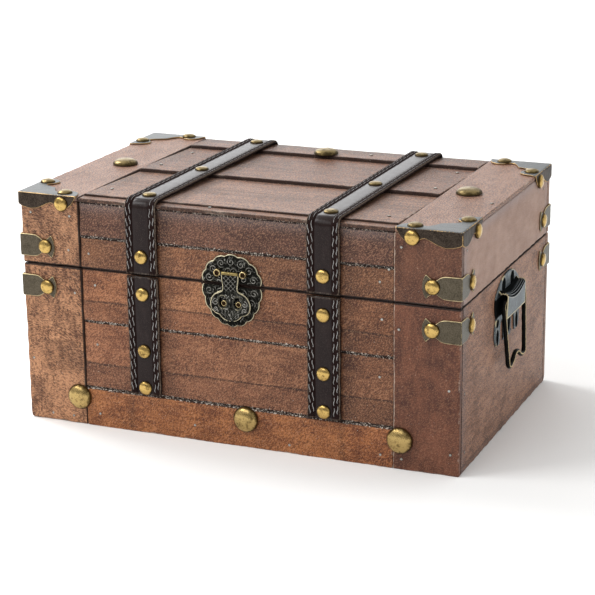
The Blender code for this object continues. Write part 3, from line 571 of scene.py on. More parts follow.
lid_low_areas = dirt_and_shade + (
    (*left_bay, *all_up, (0.88, 0.86, 0.86)), (-0.05, -0.01, *all_up, (1.25, 1.22, 1.18)),
    (0.02, 0.062, *all_up, (0.88, 0.86, 0.86)), (*right_bay, *all_up, (0.80, 0.78, 0.78)),
)
lid_high_areas = dirt_and_shade + (
    (-0.13, -0.10, *all_up, (0.90, 0.88, 0.88)), (0.02, 0.062, *all_up, (0.86, 0.84, 0.84)),
)
tan_areas = (
    (-0.160, -0.128, 0.040, 0.066, (0.78, 0.76, 0.74)), (-0.2, -0.12, 0.126, 0.2, (0.92, 0.94, 0.96)),
    (-0.2, -0.12, 0.066, 0.082, (1.16, 1.18, 1.18)),
)
red_areas = ((0.12, 0.2, 0.126, 0.2, (0.78, 0.83, 0.87)),)
end_tan = wood("end_board_tan", tint(86, 50, 30), tint(186, 134, 97), "Z", seed=1.0, fleck=0.85,
               areas=tan_areas, fibres=0.42, lie=(0, -1.3, 0), draw=4.0, flow=0.04, clouds=1.35)
end_red = wood("end_board_red", tint(67, 35, 25), tint(121, 74, 53), "Z", seed=2.3, fleck=0.42,
               areas=red_areas, fibres=0.12, streaks=0.3)
rail_orange = wood("rail_orange", tint(94, 47, 23), tint(158, 98, 58), "X", seed=3.1, areas=rail_areas)
base_low_wood = wood("base_board_low_stain", tint(90, 51, 33), tint(151, 103, 73), "X", seed=4.7,
                     areas=low_areas)
base_high_wood = wood("base_board_high_stain", tint(97, 54, 32), tint(160, 106, 72), "X", seed=5.9,
                      areas=high_areas)
lid_low_wood = wood("lid_board_low_stain", tint(80, 46, 31), tint(136, 92, 63), "X", seed=6.4,
                    areas=lid_low_areas)
lid_high_wood = wood("lid_board_high_stain", tint(61, 35, 27), tint(106, 71, 57), "X", seed=7.7,
                     areas=lid_high_areas, haze=tint(110, 98, 96))

front_boards = (
    ("base_front_board_lower", base_low_wood, "base", board_slope, "orange_wood", "-z +z", "-z +z"),
    ("base_front_board_upper", base_high_wood, "base", board_slope, "red_wood", "-z +z", "-z"),
    ("front_bottom_rail", rail_orange, "base", 0, "orange_wood", "+z", "+z"),
    ("base_front_board_left", end_tan, "base", 0, "tan_wood", "+z +x", ""),
    ("base_front_board_right", end_red, "base", 0, "red_wood", "+z", ""),
    ("lid_front_board_lower", lid_low_wood, "lid", board_slope, "orange_wood", "-z +z", "+z"),
    ("lid_front_board_upper", lid_high_wood, "lid", board_slope, "dark_wood", "-z +z", "-z +z"),
    ("lid_front_board_left", end_tan, "lid", 0, "tan_wood", "-z +x", ""),
    ("lid_front_board_right", end_red, "lid", 0, "red_wood", "-z", ""),
)
joint_reach = 1.3
joint_depth = 0.95
for index, (node, finish, body, slope, slot, dark_sides, chip_sides) in enumerate(front_boards):
    low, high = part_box(node)
    board_marks = {"joint": joints(low, high, dark_sides, joint_reach, joint_depth),
                   "chip": joints(low, high, chip_sides, 1.6, 1.0)}
    if node == "lid_front_board_upper":
        board_marks["haze"] = fades(2, high[2], 6.5 * mm, 0.9)
    # Painted highlight: the inner edge of each right end board faces the light and is painted pale with
    # the rub mark.
    if node.endswith("board_right"):
        board_marks["rub"] = joints(low, high, "-x", 0.8, 0.5)
    if node.endswith("board_left"):
        seam_side, inner_side = dark_sides.split()
        board_marks["joint"] = strongest(joints(low, high, seam_side, joint_reach, joint_depth),
                                         joints(low, high, inner_side, 0.85, joint_depth))
    # Painted shade in the slit behind the latch.
    if node in ("base_front_board_upper", "lid_front_board_lower"):
        board_marks["joint"] = strongest(board_marks["joint"], latch_slit_shade)
    soft = 1.8 if node.endswith("board_left") else 0.9
    board(node.replace("front_", "clad_"), low, high, finish, body, soft=soft, seed=20 + index,
          shape=lean(low, high, slope), marks=board_marks, stands_for=(node,),
          rub=0.3 if slope else 0.4)
print(len(front_boards), "front boards")

# %% [markdown]
# The side panels are single boards. Handling has burnished a grey band down their front and back
# edges and along the top of the lid, and the foot of the sides and back is darker towards the
# bottom. The walls at the back keep the imported shape, because the hinge leaves are let into them;
# only their finish is new. Inside, the wood is plain, with a dark stained rim at the seam that shows
# when the lid is open.
# %% Side panels, back and inside
foot = ((-1, 1, 0.0, 0.0060, (0.60, 0.58, 0.60)),)
stained_rim = ((-1, 1, 0.1215, 0.1300, (0.10, 0.08, 0.08)),)
down_the_side = (1.2, 0, 0)
side_woods = {
    "base": wood("side_base_stain", tint(104, 67, 48), tint(168, 126, 102), "Y", seed=8.2, areas=foot,
                 haze=tint(106, 90, 88), lie=down_the_side, fibres=0.24, streaks=0.9),
    "lid": wood("side_lid_stain", tint(142, 108, 91), tint(170, 138, 121), "Y", seed=8.9, fleck=0.24,
                haze=tint(146, 132, 130), lie=down_the_side, fibres=0.1, streaks=0.2),
}
back_wood = wood("back_stain", tint(104, 76, 64), tint(158, 126, 108), "X", seed=9.4, areas=foot)
inner_wood = wood("inner_stain", tint(150, 112, 80), tint(196, 158, 122), "X", seed=10.1, fleck=0.3,
                  shine=0.5, areas=stained_rim)
for body in ("base", "lid"):
    for side, direction in (("left", -1), ("right", 1)):
        node = body + "_" + side + "_wall"
        low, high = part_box(node)
        front_band = fades(1, low[1], 9 * mm, 0.8)
        back_band = fades(1, high[1], 5 * mm, 0.7)
        top_band = fades(2, high[2], 6 * mm, 0.8 if body == "lid" else 0.0)
        dark_sides = "-z -y" if body == "lid" else "+z -y"
        board_marks = {"haze": lambda points: front_band(points) + back_band(points) + top_band(points),
                       "joint": joints(low, high, dark_sides, 0.7, 0.8)}
        board(body + "_side_panel_" + side, low, high, side_woods[body], body, soft=1.3,
              seed=40 + direction, marks=board_marks, stands_for=(node,), step=3.0,
              rub=0.35)
    for part, finish in (("_back_wall", back_wood), ("_front_wall", inner_wood)):
        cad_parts[body + part].data.materials[0] = finish
for node in ("base_bottom_panel", "lid_inner_panel"):
    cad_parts[node].data.materials[0] = inner_wood
print("side panels, back and inside done")

# %% [markdown]
# The top is four boards deep: a narrow front strip, two wide boards and a back rail that lap like
# slates between two end boards. The light comes in low over them, so the steps read as dark lines
# with chipped lips; the joint marks paint those lines dark as well, partly as dark joints and partly
# as painted shade. Beside the right edge of each strap the top is painted darker, as the strap's
# painted shadow.
# %% Boards on the lid
def fall(low, high, amount):
    """Lower the top by the amount times the share of the depth."""
    def shape(points):
        share = (points[:, 1] - low[1]) / (high[1] - low[1])
        top = np.clip((points[:, 2] - low[2]) / (high[2] - low[2]), 0, 1)
        bent = points.copy()
        bent[:, 2] -= share * amount * top
        return bent
    return shape


span = (-1, 1)
# Painted shadow: the two areas beside the right edge of each strap darken the top as the strap's shadow.
top_areas = (
    (*span, -0.0995, -0.079, (1.14, 1.17, 1.19)), (*span, -0.009, 0.009, (1.06, 1.08, 1.10)),
    (*span, 0.064, 0.0785, (1.08, 1.10, 1.12)), (*span, -0.0119, 0.098, (0.77, 0.69, 0.66)),
    (-0.061, -0.047, *span, (0.46, 0.44, 0.44)), (0.085, 0.097, *span, (0.56, 0.54, 0.54)),
    (*span, 0.098, 1, (0.44, 0.42, 0.42)), (*span, 0.025, 0.060, (0.84, 0.80, 0.78)),
    (*span, -0.066, -0.042, (0.86, 0.82, 0.80)), (-0.126, -0.111, *span, (0.66, 0.64, 0.62)),
)
over = (0, math.pi / 2, 1.2)
top_joint = tint(46, 32, 28)
top_wood = wood("top_stain", tint(84, 55, 42), tint(138, 103, 84), "X", seed=11.3, fleck=1.0,
                shine=0.34, joint=top_joint, areas=top_areas, depth="Y", lie=over, fibres=0.7, draw=3.5,
                streaks=2.4, streak_scale=240)
top_end_wood = wood("top_end_stain", tint(97, 65, 52), tint(155, 120, 102), "Y", seed=12.6, fleck=1.2,
                    shine=0.32, joint=top_joint, lie=over, fibres=0.5, draw=3.5)
wide_fall = 2.6 * mm
rail_fall = 1.5 * mm
top_boards = (
    ("lid_top_front_strip", top_wood, 0.0),
    ("lid_top_wide_board", top_wood, wide_fall),
    ("lid_top_second_board", top_wood, wide_fall),
    ("lid_top_back_rail", top_wood, rail_fall),
    ("lid_top_end_board_left", top_end_wood, 0.0),
    ("lid_top_end_board_right", top_end_wood, 0.0),
)
for index, (node, finish, drop) in enumerate(top_boards):
    low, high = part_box(node)
    near_front = fades(1, low[1], 1.0 * mm, 0.6)
    near_back = fades(1, high[1], 1.7 * mm, 0.8)
    if "end_board" in node:
        board_marks = {"joint": joints(low, high, "+x" if node.endswith("left") else "-x", 1.0, 0.9)}
    elif "strip" in node:
        board_marks = {"joint": joints(low, high, "-y +y", 0.9, 0.5)}
    else:
        board_marks = {"joint": lambda points: near_front(points) + near_back(points),
                       "chip": lambda points: 1.2 * near_back(points)}
    board(node.replace("lid_top_", "top_"), low, high, finish, "lid", soft=0.8, seed=60 + index,
          shape=fall(low, high, drop), marks=board_marks, stands_for=(node,),
          rub=0.42)
print(len(top_boards), "boards on the lid")

# %% [markdown]
# Most of the fittings are either a ring carried along a path, such as the straps and the bail, or a
# thin sheet that follows the box. One helper joins the rings of a grid of points into a closed skin,
# another joins a flat grid, and a third points the faces outwards and gives a sheet its thickness.
# %% Skins and sheets
same_place = 2e-6


def ring_faces(count, sides):
    """Faces between rings that follow each other in one list of points, and a cap on both ends."""
    i, j = np.meshgrid(np.arange(count - 1), np.arange(sides), indexing="ij")
    following = (j + 1) % sides
    quads = np.stack([i * sides + j, i * sides + following,
                      (i + 1) * sides + following, (i + 1) * sides + j], axis=-1).reshape(-1, 4)
    first = np.arange(sides)[::-1][None, :]
    last = (count - 1) * sides + np.arange(sides)[None, :]
    return quads, np.concatenate([first, last])


def sheet_faces(rows, columns):
    """Four-sided faces between the neighbours of a grid of points."""
    i, j = np.meshgrid(np.arange(rows - 1), np.arange(columns - 1), indexing="ij")
    corner = i * columns + j
    quads = np.stack([corner, corner + columns, corner + columns + 1, corner + 1], axis=-1)
    return quads.reshape(-1, 4)


def outward(item, thickness=None):
    """Point the faces outwards; a sheet has its doubled points joined first and gets a thickness."""
    shape = bmesh.new()
    shape.from_mesh(item.data)
    if thickness:
        bmesh.ops.remove_doubles(shape, verts=shape.verts, dist=same_place)
    bmesh.ops.recalc_face_normals(shape, faces=shape.faces)
    shape.to_mesh(item.data)
    shape.free()
    if thickness:
        solid = item.modifiers.new("thickness", "SOLIDIFY")
        solid.thickness = thickness
        solid.offset = -1
        solid.use_even_offset = False


def nearest(points, line):
    """Distance from many points to the nearest point of a line, worked out in slices."""
    slices = np.array_split(points, max(1, len(points) * len(line) // 4000000 + 1))
    return np.concatenate([
        np.sqrt(((part[:, None, :] - line[None, :, :]) ** 2).sum(axis=2)).min(axis=1)
        for part in slices])


print("skins and sheets ready")

# %% [markdown]
# The leather is nearly black, smooth in the middle of the strap and scuffed on its rims. Its
# pebbled skin is a fine cell pattern used only as height; a coat gives the grey gleam that the top
# of the strap shows, and the sewn border has hardly any of it.
# %% The leather and thread finishes
def leather(name, skin, scuffed):
    """Colour = mix(skin, scuffed, rubbed rims); height = fine cells with a few creases; the mark
    'haze' is the dull sewn border."""
    material, place, shader = new_material(name)
    cells = place.node("ShaderNodeTexVoronoi", {"feature": "SMOOTH_F1"},
                       {"Vector": place, "Scale": 1500.0})
    crease = place.stretch((1, 0.3, 0.3)).noise(240, 3, 0.6)
    rubbed = (place.mark("rub") + (place.noise(900, 2) - 0.5) * 0.8).between(0.45, 1.0)
    colour = (crease.between(0.45, 0.75) * 0.25).mix(skin, tint(58, 44, 41))
    dust = place.noise(1500, 2, 0.8).between(0.55, 0.70)
    colour = (dust * 0.14).mix((rubbed * 0.75).mix(colour, scuffed), scuffed)
    smooth = 1 - place.mark("haze")
    plug(shader, Base_Color=colour, Roughness=0.34 + crease * 0.25 + rubbed * 0.2 + (1 - smooth) * 0.25,
         Normal=(cells * 0.5 + crease * 0.6).bumped(0.22, 0.0003), Specular_IOR_Level=0.05,
         Coat_Weight=smooth * 0.62 + 0.02, Coat_Roughness=0.22, Coat_IOR=1.3,
         Coat_Tint=tint(250, 252, 255))
    return material


strap_leather = leather("strap_leather", tint(26, 13, 12), tint(126, 112, 98))
thread_finish, place, shader = new_material("waxed_thread")
twist = place.stretch((1, 1, 1), turn=(0.6, 0.5, 0.4)).noise(2600, 2)
plug(shader, Base_Color=twist.between(0.3, 0.7).mix(tint(84, 82, 80), tint(176, 174, 172)),
     Roughness=0.55, Normal=twist.bumped(0.4, 0.0002))
print("leather and thread ready")

# %% [markdown]
# Each strap is one section carried along its path: up the front of the lid, round the lip, over the
# top and down the back. The section has a raised rim on both sides of a smooth middle, because the
# real strap is folded over and sewn along its edges. A curve with a bevel object would give the
# same sweep, but here the width can also wander, as cut leather does.
# %% The straps
strap_half = 13.0
strap_border = 6.3 * mm
strap_side = np.array([
    (-13.0, 0.35), (-12.95, 1.3), (-12.7, 1.95), (-12.2, 2.35), (-11.2, 2.46), (-9.5, 2.42),
    (-7.8, 2.34), (-7.0, 2.05), (-6.6, 1.72), (-6.1, 1.86), (-4.0, 2.0),
])
strap_section = np.concatenate([
    strap_side, [(0.0, 2.06)], strap_side[::-1] * [-1, 1], [(12.6, 0.05), (0.0, 0.0), (-12.6, 0.05)],
]) * mm
strap_rub = np.zeros(len(strap_section))
strap_rub[[2, 3, 19, 20]] = 0.75
strap_rub[[1, 21]] = 0.5
strap_spacing = 72.5 * mm
strap_face = 112.8 * mm
strap_bed = 181.3 * mm
strap_bend = 5.0 * mm


def running_length(line):
    """The length of a line of points from its start up to each point."""
    return np.concatenate([[0], np.cumsum(np.linalg.norm(np.diff(line, axis=0), axis=1))])


def resample(line, step):
    """Equal steps along a line of points, found by its running length."""
    length = running_length(line)
    places = np.linspace(0, length[-1], max(3, int(length[-1] / step) + 1))
    return np.stack([np.interp(places, length, line[:, k]) for k in range(line.shape[1])], axis=-1)


def strap_path(points):
    """The path in (y, z) with its outward normals: the tangent turned by a right angle."""
    along = np.gradient(points, axis=0)
    along /= np.linalg.norm(along, axis=1, keepdims=True)
    return points, np.stack([-along[:, 1], along[:, 0]], axis=-1)


def over_the_lid(low, back_low):
    """Up the front, a quarter circle, over the top, a quarter circle, down the back."""
    turn = np.linspace(0, math.pi / 2, 9)
    face, bed, bend = strap_face, strap_bed, strap_bend
    front = np.stack([-face + bend - bend * np.cos(turn), bed - bend + bend * np.sin(turn)], axis=-1)
    rear = np.stack([face - bend + bend * np.sin(turn), bed - bend + bend * np.cos(turn)], axis=-1)
    return np.concatenate([[(-face, low)], front, rear, [(face, back_low)]])


def make_strap(name, x, line, body, node, seed):
    """Point = path + across * x + height * normal; the height and width wander a little, and the
    cut ends are scuffed."""
    points, normals = strap_path(resample(np.array(line), 1.1 * mm))
    count, sides = len(points), len(strap_section)
    run = np.stack([np.zeros(count), points[:, 0], points[:, 1]], axis=-1)
    wander = ripple(run, np.array([37, 17, 7]) * mm, seed) * 0.22 * mm
    across = x + strap_section[None, :, 0] * (1 + wander[:, None] / strap_half / mm)
    height = strap_section[None, :, 1] * (1 - np.abs(wander[:, None]) * 60)
    grid = np.stack([
        across,
        points[:, None, 0] + height * normals[:, None, 0],
        points[:, None, 1] + height * normals[:, None, 1],
    ], axis=-1)
    quads, caps = ring_faces(count, sides)
    rub = np.tile(strap_rub, (count, 1))
    rub[[0, 1, -2, -1]] = 0.6
    border = np.tile(np.abs(strap_section[:, 0]) > strap_border, count)
    item = put_mesh(name, grid.reshape(-1, 3), [quads, caps], strap_leather, body,
                    {"rub": rub.ravel(), "haze": border}, (node,))
    outward(item)
    return points, normals


lid_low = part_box("lid_strap_left")[0].z
base_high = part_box("base_strap_front_left")[1].z
base_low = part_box("base_strap_front_left")[0].z
back_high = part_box("base_strap_back_left")[1].z
back_lid_low = 128.6 * mm
strap_runs = []
for side, direction in (("left", -1), ("right", 1)):
    x = direction * strap_spacing
    runs = (
        ("lid_strap_" + side, over_the_lid(lid_low, back_lid_low), "lid"),
        ("base_strap_front_" + side, [(-strap_face, base_low), (-strap_face, base_high)], "base"),
        ("base_strap_back_" + side, [(strap_face, back_high), (strap_face, base_low)], "base"),
    )
    for node, line, body in runs:
        name = node.replace("strap", "leather")
        points, normals = make_strap(name, x, line, body, node, 80 + direction)
        strap_runs.append((node, x, points, normals, body))
print(len(strap_runs), "lengths of strap")

# %% [markdown]
# Two rows of grey thread run along each rim. A stitch is a short S-shaped tube that dives into the
# leather at both ends, and the second row of a rim starts a quarter of a stitch later. All stitches
# of one strap are worked out as one array, a few dozen faces each, so hundreds of them stay light.
# %% The stitches
stitch_pitch = 8.2 * mm
stitch_length = 7.4 * mm
stitch_radius = 0.32 * mm
stitch_sway = 0.46 * mm
stitch_lift = 2.36 * mm
stitch_rows = ((-10.9, 0.0), (-8.2, 0.25), (8.2, 0.0), (10.9, 0.25))


def sew(name, x, points, normals, body):
    """Thread centre = strap path at the stitch's own run + across * S-curve + height; the tube's
    ring lies across the run. The S-curve is a sine over the stitch, and the height falls off at its
    ends. Where the strap lies flat, both the sine and the tube are narrower."""
    length = running_length(points)
    share = np.linspace(-0.5, 0.5, 8)
    ring = np.linspace(0, 2 * math.pi, 6, endpoint=False)
    grids, skins, lids = [], [], []
    for offset, shift in stitch_rows:
        starts = np.arange(2.6 * mm + shift * stitch_pitch, length[-1] - 1.2 * mm, stitch_pitch)
        middle = np.clip(starts + stitch_length / 2, 0, length[-1] - stitch_length * 0.52)
        run = middle[:, None] + share[None, :] * stitch_length
        sway = stitch_sway * np.sin(share * 2 * math.pi) * np.sign(offset) - 0.25 * mm * share
        rise = stitch_lift + 0.16 * mm * (1 - (2 * share) ** 4) - 0.25 * mm * (np.abs(share) > 0.49)
        thick = stitch_radius * (1 - 0.55 * (2 * np.abs(share)) ** 3)
        y = np.interp(run, length, points[:, 0])
        z = np.interp(run, length, points[:, 1])
        ny = np.interp(run, length, normals[:, 0])
        nz = np.interp(run, length, normals[:, 1])
        calm = 1 - 0.55 * np.clip(nz, 0, 1)
        around = thick[None, :, None] * np.cos(ring)
        out = rise[None, :, None] + thick[None, :, None] * np.sin(ring) * 0.45
        grid = np.stack([
            x + offset * mm + sway[None, :, None] * calm[:, :, None] + around * calm[:, :, None],
            y[:, :, None] + ny[:, :, None] * out,
            z[:, :, None] + nz[:, :, None] * out,
        ], axis=-1)
        quads, caps = ring_faces(len(share), len(ring))
        shift_by = np.arange(len(run))[:, None, None] * len(share) * len(ring)
        before = sum(len(part) for part in grids)
        skins.append((quads[None] + shift_by).reshape(-1, 4) + before)
        lids.append((caps[None] + shift_by).reshape(-1, len(ring)) + before)
        grids.append(grid.reshape(-1, 3))
    item = put_mesh(name, np.concatenate(grids), [np.concatenate(skins), np.concatenate(lids)],
                    thread_finish, body, {})
    outward(item)
    return sum(len(part) for part in grids) // (len(share) * len(ring))


stitches = sum(
    sew(node.replace("strap", "stitches"), x, points, normals, body)
    for node, x, points, normals, body in strap_runs)
print(stitches, "stitches")

# %% [markdown]
# Every strap, bracket and clip is held by small domed brass nails, and six large domes stud the
# front and the lid. A dome is a quarter ellipse spun round its axis, with a thin rolled rim, a few
# shallow dents, and wear that leaves the crown bright and the rim dark.
# %% The brass finish
def brass(name, bright, dull, speck, brushed=0.0, rough=0.24):
    """Colour = mix(bright, dull, blotches + mark 'joint' at the rim); dark specks; brushed rings."""
    material, place, shader = new_material(name)
    blotch = place.noise(260, 3, 0.6)
    # In the brass this mask is tarnish: dark blotches and a darker rim.
    dirt_and_shade = (place.mark("joint") * 0.8 + (blotch - 0.42) * 2.2).between(0.1, 0.8)
    specks = place.noise(1100, 2, 0.7).between(0.61, 0.70)
    colour = dirt_and_shade.mix(bright, dull)
    colour = (specks * 0.8).mix(colour, speck)
    grain = place.noise(1100, 3, 0.65)
    rings = place.node("ShaderNodeTexNoise", {"noise_dimensions": "1D"},
                       {"W": place.mark("ring"), "Scale": 60.0, "Detail": 3.0})
    height = grain * 0.5 + rings * brushed - specks * 0.5
    plug(shader, Base_Color=colour, Metallic=1.0, Normal=height.bumped(0.35, 0.0002),
         Roughness=rough + dirt_and_shade * 0.14 + specks * 0.3)
    return material


nail_brass = brass("small_nail_brass", tint(194, 162, 96), tint(84, 66, 36), tint(28, 23, 15),
                   rough=0.20)
worn_brass = brass("worn_nail_brass", tint(138, 120, 80), tint(72, 60, 38), tint(30, 25, 17),
                   rough=0.34)
dome_brass = brass("large_dome_brass", tint(178, 152, 98), tint(92, 75, 44), tint(38, 31, 20),
                   brushed=0.5, rough=0.22)
dome_foot = 0.4 * mm
dome_lip = 0.2 * mm
dent_waves = np.array([9, 5, 3.1]) * mm
dent_depth = 0.05 * mm


def dome(name, centre, normal, radius, height, body, finish, seed=0, node=None, sides=28):
    """Rings of a quarter ellipse: distance = radius * cos(a), rise = height * sin(a), above a small
    rolled rim and a foot; the rings are turned from +Z towards the normal."""
    turn_share = np.linspace(0, math.pi / 2 * 0.985, 12)
    away = np.concatenate([[0.90, 0.985, 1.0], 0.985 * np.cos(turn_share) ** 0.92]) * radius
    rise = np.concatenate([
        [-dome_foot, -dome_foot, 0.0], dome_lip + (height - dome_lip) * np.sin(turn_share)])
    angle = np.linspace(0, 2 * math.pi, sides, endpoint=False)
    local = np.stack([
        away[:, None] * np.cos(angle), away[:, None] * np.sin(angle), rise[:, None] + 0 * angle,
    ], axis=-1)
    dents = ripple(local.reshape(-1, 3), dent_waves, 200 + seed).reshape(local.shape[:2])
    local[:, :, 2] += dents * dent_depth * (away[:, None] < radius * 0.98)
    axis = np.array(normal, float)
    first = np.cross(axis, [0.3, 0.5, 0.8])
    first /= np.linalg.norm(first)
    second = np.cross(axis, first)
    grid = (np.array(centre) + local[..., :1] * first + local[..., 1:2] * second
            + local[..., 2:] * axis)
    rim = np.clip((away / radius - 0.80) / 0.2, 0, 1)[:, None] + 0 * angle
    quads, caps = ring_faces(len(away), sides)
    put_mesh(name, grid.reshape(-1, 3), [quads, caps], finish, body,
             {"joint": rim.ravel(), "ring": (away[:, None] / radius + 0 * angle).ravel()},
             (node,) if node else ())


print("brass ready")

# %% [markdown]
# The strap nails stand on the leather: three over the top of the lid, one near the seam at the
# front and the back, and three down each lower strap. A large dome takes the place of each large
# packed nail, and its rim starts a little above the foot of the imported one.
# %% Nails in the straps and large domes
nail_radius = 5.5 * mm
nail_height = 2.6 * mm
top_nail_places = (-0.098, -0.0078, 0.098)
lid_nail_height = 0.1398
base_nail_heights = (0.1109, 0.0664, 0.0372)
dome_radius = 10 * mm
dome_stand = 0.0006
front_dome_rise = 4.6 * mm
lid_dome_rise = 3.9 * mm
strap_out = strap_face + 2.2 * mm
strap_top = strap_bed + 2.1 * mm
nail_count = 0
for side, direction in (("left", -1), ("right", 1)):
    x = direction * strap_spacing
    spots = [((x, y, strap_top), (0, 0, 1), "lid") for y in top_nail_places]
    for face in (-1, 1):
        spots.append(((x, face * strap_out, lid_nail_height), (0, face, 0), "lid"))
        spots += [((x, face * strap_out, z), (0, face, 0), "base") for z in base_nail_heights]
    for spot, normal, body in spots:
        nail_count += 1
        flat = normal[2]
        dome("strap_nail_%02d" % nail_count, spot, normal, nail_radius, nail_height * (1 - 0.25 * flat),
             body, worn_brass if flat else nail_brass, nail_count)
for node in ("front_nail_left", "front_nail_middle", "front_nail_right",
             "lid_nail_left", "lid_nail_back", "lid_nail_right"):
    low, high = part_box(node)
    middle = (np.array(low) + np.array(high)) / 2
    if node.startswith("front"):
        spot, normal, body = (middle[0], high[1] - dome_stand, middle[2]), (0, -1, 0), "base"
        rise, finish = front_dome_rise, dome_brass
    else:
        spot, normal, body = (middle[0], middle[1], low[2] + dome_stand), (0, 0, 1), "lid"
        rise, finish = lid_dome_rise, worn_brass
    dome(node.replace("nail", "dome"), spot, normal, dome_radius, rise, body, finish, node=node,
         sides=48)
print(nail_count, "strap nails and 6 large domes")

# %% [markdown]
# The corner metal is thin pressed sheet with a dark antique finish. Where hands and cloths have
# rubbed it, along every cut edge and fold, the brass underneath shows through. The finish therefore
# listens to a mark called rub, which each sheet carries at its edges and folds.
# %% The antique metal finish
hollow_black = tint(10, 10, 9)


def antique(name, deep, middle, worn_and_lit, rough=0.36, metal=0.85, grain_size=1400,
            sheen_colour=tint(168, 166, 158)):
    """Colour = mix(deep, middle, fine grain); worn brass where the mark 'rub' beats the noise;
    the mark 'joint' blackens hollows and takes their shine, as dark patina and as painted shade,
    and 'haze' is painted light: silver highlights on crests and a silver reflection on some faces."""
    material, place, shader = new_material(name)
    grain = place.noise(grain_size, 3, 0.7)
    cloud = place.noise(150, 3, 0.6)
    colour = (grain * 0.9 + cloud * 0.4).between(0.42, 0.88).mix(deep, middle)
    # Dark patina and painted shade in the hollows, then painted silver highlights and reflections where
    # the haze mark is.
    hollow = (place.mark("joint") + (grain - 0.5) * 0.4).between(0.2, 0.8)
    colour = (hollow * 0.96).mix(colour, hollow_black)
    painted_sheen = (place.mark("haze") + (grain - 0.5) * 0.4).between(0.3, 0.8)
    colour = (painted_sheen * 0.8).mix(colour, sheen_colour)
    rubbed = (place.mark("rub") + (place.noise(900, 3, 0.7) - 0.5) * 0.8).between(0.38, 0.66)
    colour = rubbed.mix(colour, worn_and_lit)
    plug(shader, Base_Color=colour, Metallic=(1 - hollow) * (metal - rubbed * 0.35),
         Specular_IOR_Level=0.0, Roughness=rough + grain * 0.18 + hollow * 0.4 - rubbed * 0.08,
         Normal=(grain * 0.6 + cloud * 0.5).bumped(0.3, 0.0003))
    return material


corner_bronze = antique("corner_bronze", tint(33, 28, 25), tint(82, 72, 63), tint(190, 158, 110),
                        sheen_colour=tint(150, 157, 160))
clip_bronze = antique("clip_bronze", tint(66, 60, 50), tint(102, 94, 80), tint(200, 182, 140),
                      sheen_colour=tint(140, 142, 138))
print("antique finish ready")

# %% [markdown]
# A corner bracket is one sheet folded over three faces: a band down the front and the side with a
# wavy lower edge, and a top whose edge runs from tip to tip. Each arm is a grid between two curves: up
# the face from the lower curve to the fold, then over the top to the upper curve. Both arms meet on
# the diagonal of the corner. Folding is the same pull onto rounded edges as for the boards.
# %% Corner brackets
bracket_edge = np.array([
    (0.0, 0.76), (0.07, 0.90), (0.17, 0.99), (0.27, 1.0), (0.39, 0.86), (0.50, 0.64),
    (0.58, 0.57), (0.66, 0.72), (0.75, 0.88), (0.83, 0.83), (0.91, 0.58), (0.97, 0.22), (1.0, 0.0),
])
bracket_top = np.array([
    (0.44, 0.44), (0.50, 0.31), (0.57, 0.22), (0.64, 0.22), (0.72, 0.29), (0.83, 0.31),
    (0.93, 0.24), (0.98, 0.10), (1.0, 0.0),
])
diagonal_end = 0.44
sheet_thickness = 1.0 * mm
fold_radius = 1.3 * mm
edge_round = 0.9 * mm
corner_out = np.array([176.3, 113.8, 181.3]) * mm
arm_reach = np.array([50.0, 46.0]) * mm
bracket_drop = 12.5 * mm
hammer_waves = np.array([11, 6, 3.7]) * mm
hammer_depth = 0.05 * mm
rub_waves = np.array([13, 5, 2.3]) * mm


def smooth_through(table, steps):
    """A smooth curve through the points of a table: a cubic between neighbours whose slopes come
    from the points on either side."""
    ends = np.concatenate([2 * table[:1] - table[1:2], table, 2 * table[-1:] - table[-2:-1]])
    t = np.linspace(0, 1, steps, endpoint=False)[None, :, None]
    before, start, end, after = (ends[k:len(ends) - 3 + k, None, :] for k in range(4))
    line = 0.5 * (2 * start + (end - before) * t + (2 * before - 5 * start + 4 * end - after) * t ** 2
                  + (3 * start - before - 3 * end + after) * t ** 3)
    return np.concatenate([line.reshape(-1, 2), table[-1:]])


def fold(points, inset, seed):
    """Pull points on a sharp corner block onto its rounded folds, then sink them by the inset."""
    limit = corner_out - fold_radius
    inner = np.minimum(points, limit)
    away = points - inner
    direction = away / np.maximum(np.linalg.norm(away, axis=1, keepdims=True), 1e-9)
    hammered = ripple(points, hammer_waves, seed) * hammer_depth
    return inner + direction * (fold_radius - inset + hammered)[:, None]


def rolled_edge(distance):
    """How far the skin sinks near a cut edge: the quarter circle that rounds the sheet's edge."""
    share = 1 - np.clip(distance / edge_round, 0, 1)
    return sheet_thickness * 0.62 * (1 - np.sqrt(np.maximum(1 - share ** 2, 0)))


def bracket_arm(along, across):
    """One arm as a grid of distances from the corner: u runs from the corner to the tip, v up the
    face from the lower curve to the fold and then over the top to the upper curve."""
    lower = smooth_through(bracket_edge, 8)
    upper = smooth_through(bracket_top, 8)
    u = np.concatenate([np.linspace(0, diagonal_end, 26, endpoint=False),
                        np.linspace(diagonal_end, 1, 44)])
    below = np.interp(u, lower[:, 0], lower[:, 1]) * bracket_drop
    on_top = np.where(u < diagonal_end, u, np.interp(u, upper[:, 0], upper[:, 1]))
    v = np.array([0, 0.04, 0.1, 0.2, 0.33, 0.46, 0.6, 0.72, 0.82, 0.9, 0.96, 1.0])
    depth = np.concatenate([np.zeros(len(v)), v[1:]])
    drop = np.concatenate([v[::-1], np.zeros(len(v) - 1)])
    grid = np.zeros((len(u), len(depth), 3))
    grid[..., along] = u[:, None] * arm_reach[along]
    grid[..., across] = (on_top * arm_reach[across])[:, None] * depth[None, :]
    grid[..., 2] = below[:, None] * drop[None, :]
    edge_rows = np.concatenate([grid[:, 0], grid[u >= diagonal_end][:, -1]])
    return grid, edge_rows


